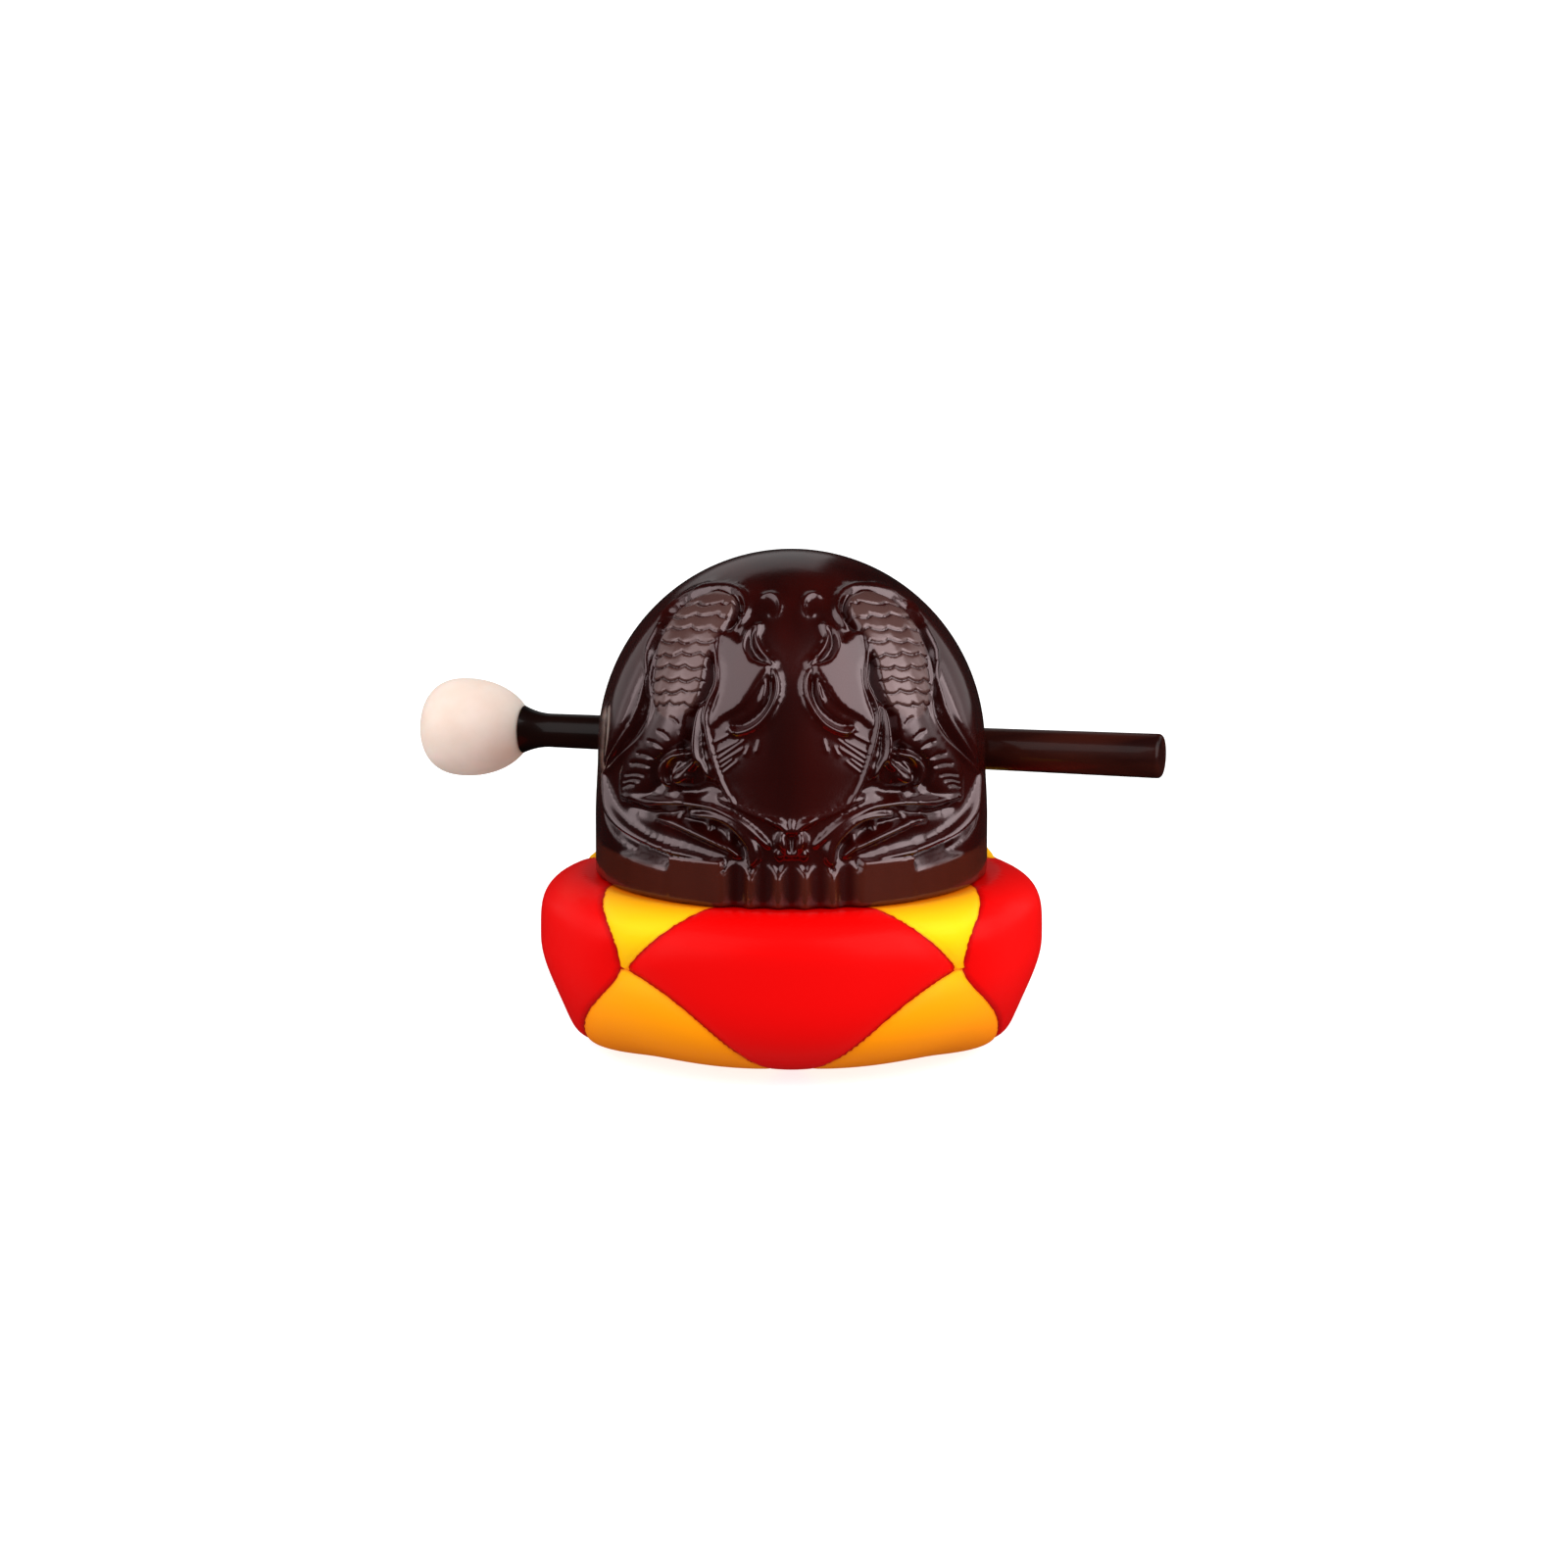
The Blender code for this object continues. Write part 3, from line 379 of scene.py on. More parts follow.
cutStrokes = {
    "besideBody": ([
        (15.6, 69.1, 0.5), (13.8, 67.5, 1.0), (13.5, 65.2, 1.25), (14.9, 62.8, 1.15), (16.6, 61.0, 0.8),
        (18.6, 59.2, 0.7), (20.1, 57.2, 0.7), (20.8, 54.5, 0.75), (20.6, 49.5, 0.75), (21.4, 47.0, 0.9),
        (22.8, 44.8, 1.2), (24.4, 42.5, 1.1), (25.9, 39.5, 1.0), (26.6, 35.8, 1.2), (27.6, 32.5, 1.3),
        (29.4, 30.2, 1.0),
    ], 1.9, 0.8),
    "underHood": ([
        (29.9, 62.8, 0.3), (27.6, 65.5, 0.7), (25.1, 67.4, 0.75), (21.9, 68.9, 0.7), (18.6, 69.6, 0.6),
        (15.6, 69.4, 0.5),
    ], 1.4, 0.8),
    "hoodNotch": ([
        (26.4, 68.4, 0.3), (28.9, 66.8, 0.7), (31.1, 64.2, 0.7), (32.6, 61.8, 0.35),
    ], 1.1, 0.8),
    "finGroove": ([
        (31.9, 61.2, 0.4), (35.1, 55.5, 0.6), (36.6, 50.5, 0.6), (37.2, 45.5, 0.6), (38.0, 41.0, 0.6),
        (39.9, 36.5, 0.6), (42.9, 31.5, 0.5), (46.9, 25.5, 0.3),
    ], 1.3, 0.8),
    "finOuterGroove": ([
        (38.1, 48.5, 0.3), (39.9, 43.5, 0.55), (41.9, 38.0, 0.6), (44.4, 32.8, 0.55), (47.4, 26.5, 0.3),
    ], 0.9, 0.8),
    "clawHollow": ([(10.5, 58.8, 0.3), (10.4, 56.5, 0.7), (9.1, 54.5, 0.9), (7.1, 52.8, 0.5)], 0.8, 0.8),
    "leafHollow": ([
        (5.9, 48.5, 0.5), (5.6, 45.0, 0.9), (7.1, 41.5, 1.2), (9.9, 38.8, 1.3), (12.9, 37.0, 1.1),
        (15.4, 36.8, 0.6),
    ], 1.1, 0.8),
    "eyeSocket": ([
        (27.1, 30.8, 0.5), (30.6, 30.5, 0.8), (33.9, 28.5, 0.9), (35.9, 25.2, 0.9), (35.6, 22.0, 0.8),
        (34.1, 19.8, 0.5),
    ], 1.5, 0.8),
    "cheekHollow": ([
        (29.4, 19.5, 1.0), (25.6, 19.5, 1.7), (22.1, 20.5, 2.0), (19.1, 19.0, 1.0),
    ], 1.3, 0.8),
    "mouth": ([
        (29.4, 12.5, 0.4), (26.4, 11.8, 0.8), (22.9, 10.8, 1.3), (19.4, 9.2, 1.7), (16.1, 7.2, 1.6),
        (13.6, 5.0, 1.2), (12.6, 3.0, 0.6),
    ], 1.9, 0.8),
    "underLip": ([(41.9, 15.5, 0.5), (37.9, 14.2, 0.9), (32.9, 13.8, 0.8), (28.9, 14.8, 0.5)], 1.0, 0.8),
    "underJaw": ([
        (47.9, 17.0, 0.4), (47.1, 13.5, 0.8), (45.6, 10.8, 1.0), (42.9, 7.9, 1.25), (39.4, 5.5, 1.35),
        (35.6, 3.9, 1.2), (32.4, 2.8, 0.8),
    ], 1.9, 0.8),
}

bellyOutline = [
    (17.4, 60.8), (14.1, 59.5), (11.9, 57.0), (9.9, 53.8), (5.1, 51.5), (8.1, 46.2), (12.4, 41.1),
    (17.9, 38.0), (21.1, 35.5), (22.1, 38.0), (19.9, 43.5), (18.6, 49.5), (19.1, 55.0),
]

scaledBody = [
    (16.1, 66.9, 2.4), (18.6, 65.5, 4.4), (22.1, 62.9, 5.7), (25.1, 59.2, 6.4), (27.1, 55.2, 6.5),
    (28.2, 51.0, 6.4), (29.0, 47.2, 6.3), (29.9, 44.2, 5.7), (30.9, 42.0, 4.2),
]

ribLine = [
    (30.1, 37.6), (34.6, 32.2), (38.4, 27.5), (40.4, 23.5), (41.5, 21.2),
]

rayLines = [
    ((14.2, 32.5), (20.4, 29.2)),
    ((12.4, 32.8), (19.6, 27.8)),
    ((12.9, 30.5), (19.3, 26.6)),
    ((15.6, 27.8), (18.9, 25.3)),
    ((14.6, 27.0), (18.2, 24.2)),
    ((14.9, 35.0), (20.9, 32.0)),
    ((8.4, 33.0), (9.4, 29.6)),
    ((11.4, 30.8), (12.4, 28.8)),
]

belly = {"rise": 1.0, "outerEdge": 18.0, "lean": 0.085, "edge": 0.9}
scales = {
    "height": 2.0,
    "flatness": 0.22,
    "top": 66.6,
    "rowHeight": 3.05,
    "rows": 9,
    "columns": 1.6,
    "sag": 0.75,
    "groove": 0.38,
    "depth": 0.62,
    "lift": 0.22,
    "waver": 0.22,
    "waverPace": (1.9, 3.0),
    "shift": 0.13,
    "shiftPace": 2.3,
    # Where the scales are painted lighter as painted sheen: across the scaled body, and up each scale from
    # painted shade in its groove
    "scaleSheenEdge": (0.8, 0.98),
    "scaleSheenHeight": (-0.32, 0.14),
}
ribs = {
    "count": 8,
    "length": (2.4, 4.4),
    "width": 0.42,
    "taper": 0.6,
    "depth": 0.55,
    "bend": 0.35,
    "tilt": (-0.75, 0.2),
}
rays = {"width": 0.36, "taper": 0.6, "rise": 0.5}
band = {
    "sideHeight": 8.0,
    "sideRise": 0.08,
    "gripHeight": 11.4,
    "gripHalfWidth": 31.0,
    "gripStep": 0.25,
    "flutes": 5,
    "fluteWidth": 6.95,
    "fluteDepth": 2.2,
    "archDrop": 4.0,
    "ledgeSlope": 0.8,
    "gripSlope": 2.4,
    "footMargin": 5.0,
    "frontBorder": 0.3,
    "backBorder": 1.6,
    "plainHeight": (-2.0, -0.5),
}


# Distance inside a closed outline, below zero outside it
def insideDepth(across, up, outline):
    loop = smoothPath(outline, closed=True)
    nearest = np.full(across.shape, np.inf)
    inside = np.zeros(across.shape, bool)
    for a, b in zip(loop, np.roll(loop, -1, axis=0)):
        step = b - a
        t = np.clip(((across - a[0]) * step[0] + (up - a[1]) * step[1]) / (step @ step), 0.0, 1.0)
        nearest = np.minimum(nearest, np.hypot(across - a[0] - t * step[0], up - a[1] - t * step[1]))
        if a[1] != b[1]:
            meets = a[0] + (up - a[1]) / step[1] * step[0]
            inside ^= ((a[1] > up) != (b[1] > up)) & (across < meets)
    return np.where(inside, nearest, -nearest)


# Rows of scales whose free lower edges hang in arcs, each row half a scale aside of the last
def scaleRelief(up, side, mirror):
    height = np.zeros(up.shape)
    above = None
    rowPace, sidePace = scales["waverPace"]
    for k in range(scales["rows"]):
        shift = scales["shift"] * math.sin(scales["shiftPace"] * k) * mirror
        column = side * scales["columns"] + 0.5 * (k % 2) + shift
        place = 2.0 * (column - np.floor(column)) - 1.0
        waver = scales["waver"] * np.sin(rowPace * k + mirror + sidePace * side)
        edge = scales["top"] - k * scales["rowHeight"] - scales["sag"] * (1.0 - place * place) + waver
        height -= scales["depth"] * np.clip(1.0 - np.abs(up - edge) / scales["groove"], 0.0, None)
        if above is not None:
            between = (up <= above) & (up > edge)
            height += np.where(between, scales["lift"] * (above - up) / scales["rowHeight"], 0.0)
        above = edge
    return height


# Top edge of the plain band at the foot, with arches over the flutes
def bandTop(across):
    middle = np.abs(across)
    flute = np.round(across / band["fluteWidth"])
    offset = (across - flute * band["fluteWidth"]) / (0.5 * band["fluteWidth"])
    fluted = middle < 0.5 * band["flutes"] * band["fluteWidth"]
    inGrip = middle < band["gripHalfWidth"]
    arch = band["gripHeight"] - band["archDrop"] * (1.0 - np.sqrt(1.0 - np.clip(offset * offset, 0.0, 1.0)))
    side = band["sideHeight"] + band["sideRise"] * (middle - band["gripHalfWidth"])
    top = np.where(fluted, arch, np.where(inGrip, band["gripHeight"], side))
    plain = np.where(inGrip, 0.0, -band["gripStep"])
    wall = np.where(fluted, -band["fluteDepth"] * (1.0 - offset * offset), plain)
    return top, wall, inGrip


def bandRelief(across, height, above):
    top, wall, inGrip = bandTop(across)
    slope = np.where(inGrip, band["gripSlope"], band["ledgeSlope"])
    ledge = wall + np.clip(-slope * (height - top), None, 0.0)
    return np.maximum(ledge, np.where(height > top, above, -far))


# A point of the drum as the photograph shows it: distance from the middle, and height
def drawnPlace(points):
    farness = 1.0 + points[:, 1] * math.cos(drum["drawingTilt"]) / drum["drawingDistance"]
    up = points[:, 2] * math.cos(drum["drawingTilt"]) + points[:, 1] * math.sin(drum["drawingTilt"])
    return np.abs(points[:, 0]) / farness, up / farness


# Cuts across the cheek, and the raised rays beside the mouth
def fineStrokes():
    line = smoothPath(ribLine)
    wide, thin = ribs["width"], ribs["taper"] * ribs["width"]
    for i in range(ribs["count"]):
        t = i / (ribs["count"] - 1)
        x, y = line[int(round(t * (len(line) - 1)))]
        lean = ribs["tilt"][0] + t * (ribs["tilt"][1] - ribs["tilt"][0])
        reach = 0.5 * (ribs["length"][0] + math.sin(math.pi * t) * (ribs["length"][1] - ribs["length"][0]))
        step = np.array((-math.cos(lean), math.sin(lean))) * reach
        ends = (x - step[0], y - step[1], thin), (x + step[0], y + step[1], thin)
        yield -ribs["depth"], [ends[0], (x, y + ribs["bend"], wide), ends[1]]
    for start, end in rayLines:
        yield rays["rise"], [(*start, rays["taper"] * rays["width"]), (*end, rays["width"])]


# The carved forms, apart from them the fine cuts that keep their edges, then how far the carving
# reaches round the drum, and where painted sheen lightens the scales, with painted shade in their grooves
def reliefHeight(points):
    across, up = drawnPlace(points)
    low = 1.0 - smoothStep(ground["bottom"], ground["top"], up)
    level = -ground["depth"] * low * (1.0 - smoothStep(*ground["side"], across))
    height = level.copy()
    depth = insideDepth(across, up, bellyOutline)
    rise = belly["rise"] + belly["lean"] * (belly["outerEdge"] - across)
    height += rise * smoothStep(0.0, belly["edge"], depth)
    for route, rise, roundness in raisedStrokes.values():
        nearest = strokeFrame(across, up, route)[0]
        height = np.maximum(height, level + rise * profileOf(nearest, roundness))
    for route, depth, roundness in cutStrokes.values():
        height -= depth * profileOf(strokeFrame(across, up, route)[0], roundness)
    nearest, side = strokeFrame(across, up, scaledBody)
    body = level + scales["height"] * profileOf(nearest, scales["flatness"])
    relief = scaleRelief(up, side, np.sign(points[:, 0]))
    fine = np.where((nearest < 1.0) & (body > height), relief, 0.0)
    height = np.where(nearest < 1.0, np.maximum(height, body), height)
    # Painted sheen on the scales, fading to painted shade towards the top of each scale and in the grooves
    paintedScaleSheen = 1.0 - smoothStep(*scales["scaleSheenEdge"], nearest)
    paintedScaleSheen *= smoothStep(*scales["scaleSheenHeight"], fine)
    for rise, route in fineStrokes():
        fine += rise * profileOf(strokeFrame(across, up, route)[0], 1.0)
    fade = smoothStep(*ground["carvedDepth"], points[:, 1])
    fade *= 1.0 - smoothStep(*ground["rimFade"], across)
    return height, fine * fade, fade, paintedScaleSheen * fade


# Knife edges softened by thick lacquer
def softened(mesh, height, steps):
    ends = np.empty(2 * len(mesh.edges), np.int64)
    mesh.edges.foreach_get("vertices", ends)
    ends = ends.reshape(-1, 2)
    count = np.bincount(ends.ravel(), minlength=len(height))
    share = drum["softShare"]
    for _ in range(steps):
        total = np.bincount(ends[:, 0], height[ends[:, 1]], len(height))
        total += np.bincount(ends[:, 1], height[ends[:, 0]], len(height))
        height = (1.0 - share) * height + share * total / count
    return height


def carvedHeight(mesh, points):
    height, fine, fade, paintedScaleSheen = reliefHeight(points)
    height = softened(mesh, height, drum["softSteps"])
    banded = bandRelief(points[:, 0], points[:, 2], height)
    atFoot = points[:, 2] < band["gripHeight"] + band["footMargin"]
    height = np.where(atFoot, softened(mesh, banded, 1), height)
    return height * fade + softened(mesh, fine, 1), paintedScaleSheen


# A point of the unit ball on the drum's plain outer shape, and the way the carving goes from it
def drumSkin(ball):
    radius, wall, rounding = drum["radius"], drum["wall"], drum["rounding"]
    flat = np.maximum(np.hypot(ball[:, 0], ball[:, 1]), 1e-9)
    turn = ball[:, :2] / flat[:, None]
    upper = ball[:, 2] >= 0.0
    straight = wall - rounding
    quarter = 0.5 * math.pi * rounding
    whole = straight + quarter + radius - rounding
    run = np.arcsin(np.clip(-ball[:, 2], 0.0, 1.0)) / (0.5 * math.pi) * whole
    bend = np.clip((run - straight) / rounding, 0.0, 0.5 * math.pi)
    inward = np.clip(run - straight - quarter, 0.0, None)
    out = radius - rounding * (1.0 - np.cos(bend)) - inward
    down = np.minimum(run, straight) + rounding * np.sin(bend)
    skin = np.empty_like(ball)
    skin[:, :2] = turn * np.where(upper, radius * flat, out)[:, None]
    skin[:, 2] = np.where(upper, wall + radius * ball[:, 2], wall - down)
    way = np.empty_like(ball)
    way[:, :2] = turn * np.where(upper, flat, np.clip(out / radius, 0.0, 1.0) ** drum["baseFade"])[:, None]
    way[:, 2] = np.where(upper, ball[:, 2], 0.0)
    narrowing = smoothStep(drum["shoulderStart"], wall, skin[:, 2])
    skin[:, :2] *= (1.0 - (1.0 - drum["shoulderRadius"] / radius) * narrowing)[:, None]
    return skin, way


def cutterFrom(bm, name):
    bmesh.ops.recalc_face_normals(bm, faces=bm.faces)
    bmesh.ops.scale(bm, vec=(mm, mm, mm), verts=bm.verts)
    bmesh.ops.translate(bm, vec=(0.0, 0.0, drum["base"] * mm), verts=bm.verts)
    return addObject(meshOf(bm, name), name)


def drumCutters():
    middle = drum["slitFloor"] + 0.5 * drum["slitHeight"]
    bm = bmesh.new()
    around, along = drum["hollowSegments"]
    bmesh.ops.create_uvsphere(bm, u_segments=around, v_segments=along, radius=1.0)
    bmesh.ops.scale(bm, vec=drum["hollowRadii"], verts=bm.verts)
    bmesh.ops.translate(bm, vec=drum["hollowCentre"], verts=bm.verts)
    hollow = cutterFrom(bm, "hollow")
    reach = 2.0 * drum["radius"]
    bm = bmesh.new()
    place = Matrix.Translation((0.0, drum["slitEndDepth"] + 0.5 * reach, middle))
    size = Matrix.Diagonal((2.0 * reach, reach, drum["slitHeight"], 1.0))
    bmesh.ops.create_cube(bm, size=1.0, matrix=place @ size)
    slit = cutterFrom(bm, "slit")
    bm = bmesh.new()
    place = Matrix.Translation((0.0, drum["slitEndDepth"], middle)) @ Matrix.Rotation(0.5 * math.pi, 4, "Y")
    bmesh.ops.create_cone(
        bm,
        cap_ends=True,
        segments=drum["slitEndSegments"],
        radius1=drum["slitEndRadius"],
        radius2=drum["slitEndRadius"],
        depth=2.0 * reach,
        matrix=place,
    )
    return [hollow, slit, cutterFrom(bm, "slitEnds")]


def applyModifiers(obj):
    graph = bpy.context.evaluated_depsgraph_get()
    mesh = bpy.data.meshes.new_from_object(obj.evaluated_get(graph), depsgraph=graph)
    old = obj.data
    obj.modifiers.clear()
    obj.data = mesh
    bpy.data.meshes.remove(old)


# A ball whose carved front is split finely, and finer still where the relief is steep
def carvedBall(name):
    bm = bmesh.new()
    bmesh.ops.create_icosphere(bm, subdivisions=drum["ballLevel"], radius=1.0)
    carved = {
        v
        for v in bm.verts
        if v.co.y < drum["carvedFrom"] and drum["carvedBottom"] < v.co.z < drum["carvedTop"]
    }
    edges = [e for e in bm.edges if carved.issuperset(e.verts)]
    for cuts, limit in drum["splits"]:
        if limit:
            points = np.array([v.co for v in bm.verts])
            height, fine = reliefHeight(drumSkin(points)[0])[:2]
            height += fine
            ends = np.array([(e.verts[0].index, e.verts[1].index) for e in bm.edges])
            steep = np.abs(height[ends[:, 0]] - height[ends[:, 1]]) > limit
            faces = {f for e, isSteep in zip(bm.edges, steep) if isSteep for f in e.link_faces}
            edges = list({e for f in faces for e in f.edges})
        bmesh.ops.subdivide_edges(bm, edges=edges, cuts=cuts, use_grid_fill=True)
        bmesh.ops.triangulate(bm, faces=bm.faces)
        bm.verts.index_update()
        for v in bm.verts:
            v.co.normalize()
    return meshOf(bm, name)


def makeDrum(material):
    mesh = carvedBall("carved_drum")
    skin, way = drumSkin(readPoints(mesh))
    height, paintedScaleSheen = carvedHeight(mesh, skin)
    writePoints(mesh, (skin + way * height[:, None] + (0.0, 0.0, drum["base"])) * mm)
    writeAttribute(mesh, "paintedScaleSheen", paintedScaleSheen)
    edge = np.where(skin[:, 1] < 0.0, bandTop(skin[:, 0])[0], band["sideHeight"])
    soft = np.where(skin[:, 1] < ground["carvedDepth"][1], band["frontBorder"], band["backBorder"])
    plain = smoothStep(-soft, soft, edge - skin[:, 2]) * smoothStep(*band["plainHeight"], height)
    writeAttribute(mesh, "band", plain)
    piece = addObject(mesh, "carved_drum", material)
    cutters = drumCutters()
    for cutter in cutters:
        cut = piece.modifiers.new(cutter.name, "BOOLEAN")
        cut.object = cutter
        cut.operation = "DIFFERENCE"
        cut.solver = "EXACT"
    applyModifiers(piece)
    for cutter in cutters:
        bpy.data.objects.remove(cutter)
    piece.data.shade_smooth()
    piece.data.set_sharp_from_angle(angle=drum["sharpAngle"])
    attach(piece, "root")
    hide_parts("fish_body")
    print("drum:", len(piece.data.polygons), "faces")


# Cushion

cushion = {
    "radius": 65.2,
    "middle": 28.0,
    "rise": 19.5,
    "drop": 28.5,
    "topSquareness": 4.6,
    "frontSquareness": 3.3,
    "sideSquareness": 9.0,
    "sideSharpness": 10.0,
    "sideTaper": 0.105,
    "taperSharpness": 4,
    "taperDepth": 24.0,
    "footDrop": 0.2,
    "topGather": 2.76,
    "bottomGather": 1.53,
    "level": 6,
    "seamPull": 2.0,
    "seamSpread": 5.0,
    "crossingPull": 3.4,
    "crossingSpread": 8.0,
    "grooveDepth": 0.55,
    "grooveSpread": 0.7,
    "seamSteps": 1600,
    "seat": 44.75,
    "seatGap": 0.15,
    "seatRadius": 51.0,
    "rimRise": 6.0,
    "rimSpread": 14.0,
    "upperHeight": (36.0, 42.0),
    # Painted shade on the cushion beside the drum's foot: where it starts, and how far it reaches
    "footRadius": 49.5,
    "footShade": 5.0,
    # azimuth and rise of the puffs that the drum squeezes out behind it
    "puffs": [(0.76, 7.0), (2.4, 2.6)],
    "puffRadius": 59.0,
    "puffReach": 4.5,
    "puffTurn": 0.22,
}

# Tilt of each seam at its tip as a share of a right angle, and the bend of its run: first as it
# leaves the crossing, then as it comes to the tip
seams = {
    "upperEnd": (0.8, 1.0, 1.77),
    "upperSideFront": (0.66, 0.26, 1.0),
    "upperSideBack": (0.62, 0.8, 1.6),
    "lowerEnd": (0.8, 1.85, 1.0),
    "lowerSide": (0.60, 0.62, 1.0),
    "apart": 0.02,
}

stuffing = {"start": 0.985, "pressure": 4.0, "quality": 5, "frames": 20, "cap": 3.0, "held": 1.2}


def gathered(tilt, gather):
    quarter = 0.5 * math.pi
    return quarter * (1.0 - (1.0 - tilt / quarter) ** gather)


# Tilt of the seam above or below the red patch at an azimuth, as a share of a right angle
def seamTilt(azimuth, above):
    turn = azimuth / (0.5 * math.pi)
    patch = np.round(turn)
    run = np.clip(1.0 - 2.0 * np.abs(turn - patch) - seams["apart"], 0.0, 1.0) / (1.0 - seams["apart"])
    isSide = patch % 2.0 < 0.5

    def curve(name):
        tip, leaving, coming = seams[name]
        return tip * (1.0 - (1.0 - run**leaving) ** coming)

    upperSide = np.where(np.sin(azimuth) < 0.0, curve("upperSideFront"), curve("upperSideBack"))
    upper = np.where(isSide, upperSide, curve("upperEnd"))
    lower = np.where(isSide, curve("lowerSide"), curve("lowerEnd"))
    return np.where(above, upper, lower)


def cushionPoint(azimuth, tilt, pull):
    above = tilt > 0.0
    side = np.abs(np.cos(azimuth))
    squareness = cushion["sideSquareness"] - cushion["frontSquareness"]
    squareness = cushion["frontSquareness"] + squareness * side ** cushion["sideSharpness"]
    squareness = np.where(above, cushion["topSquareness"], squareness)
    out, rise = np.cos(tilt), np.abs(np.sin(tilt))
    reach = (out**squareness + rise**squareness) ** (-1.0 / squareness)
    height = np.where(above, cushion["rise"], -cushion["drop"]) * reach * rise
    taper = cushion["sideTaper"] * side ** cushion["taperSharpness"]
    taper = 1.0 - taper * smoothStep(0.0, cushion["taperDepth"], -height)
    radius = (cushion["radius"] - pull) * reach * out * taper
    height = np.maximum(cushion["middle"] + height, cushion["footDrop"])
    return np.stack([radius * np.cos(azimuth), radius * np.sin(azimuth), height], axis=1)


def distanceTo(targets, points):
    tree = KDTree(len(targets))
    for k, target in enumerate(targets):
        tree.insert(target, k)
    tree.balance()
    return np.array([tree.find(point)[2] for point in points])


# Distances to the nearest seam and to the nearest crossing of seams
def seamDistances(points):
    near = np.linspace(-1.0, 1.0, 2 * cushion["seamSteps"] + 1)
    turns = np.arange(-2, 2)[:, None] + 0.5 + 0.5 * near * np.abs(near)
    azimuth = turns.ravel() * 0.5 * math.pi
    curves = []
    for sign in (1.0, -1.0):
        tilt = seamTilt(azimuth, sign > 0.0) * 0.5 * math.pi * sign
        curves.append(cushionPoint(azimuth, tilt, 0.0))
    crossings = cushionPoint((np.arange(4) + 0.5) * 0.5 * math.pi, np.zeros(4), 0.0)
    return distanceTo(np.vstack(curves), points), distanceTo(crossings, points)


def cushionPlace(ball):
    azimuth = np.arctan2(ball[:, 1], ball[:, 0])
    tilt = np.arcsin(np.clip(np.abs(ball[:, 2]), 0.0, 1.0))
    up, down = gathered(tilt, cushion["topGather"]), -gathered(tilt, cushion["bottomGather"])
    return azimuth, np.where(ball[:, 2] > 0.0, up, down)


# The cloth swells between its seams, which are held where they are
def stuffed(piece, points, seam):
    mesh = piece.data
    middle = np.array((0.0, 0.0, cushion["middle"]))
    writePoints(mesh, (middle + (points - middle) * stuffing["start"]) * mm)
    held = piece.vertex_groups.new(name="seams")
    held.add([int(i) for i in np.nonzero(seam < stuffing["held"])[0]], 1.0, "REPLACE")
    cloth = piece.modifiers.new("stuffing", "CLOTH")
    cloth.settings.vertex_group_mass = "seams"
    cloth.settings.use_pressure = True
    cloth.settings.uniform_pressure_force = stuffing["pressure"]
    cloth.settings.effector_weights.gravity = 0.0
    cloth.settings.quality = stuffing["quality"]
    cloth.collision_settings.use_collision = False
    cloth.point_cache.frame_start = 1
    cloth.point_cache.frame_end = stuffing["frames"]
    for step in range(1, stuffing["frames"] + 1):
        scene.frame_set(step)
    ready = piece.evaluated_get(bpy.context.evaluated_depsgraph_get())
    swollen = readPoints(ready.data) / mm
    scene.frame_set(1)
    piece.modifiers.clear()
    piece.vertex_groups.clear()
    move = swollen - points
    length = np.maximum(np.linalg.norm(move, axis=1), 1e-9)
    return points + move * np.minimum(1.0, stuffing["cap"] / length)[:, None]


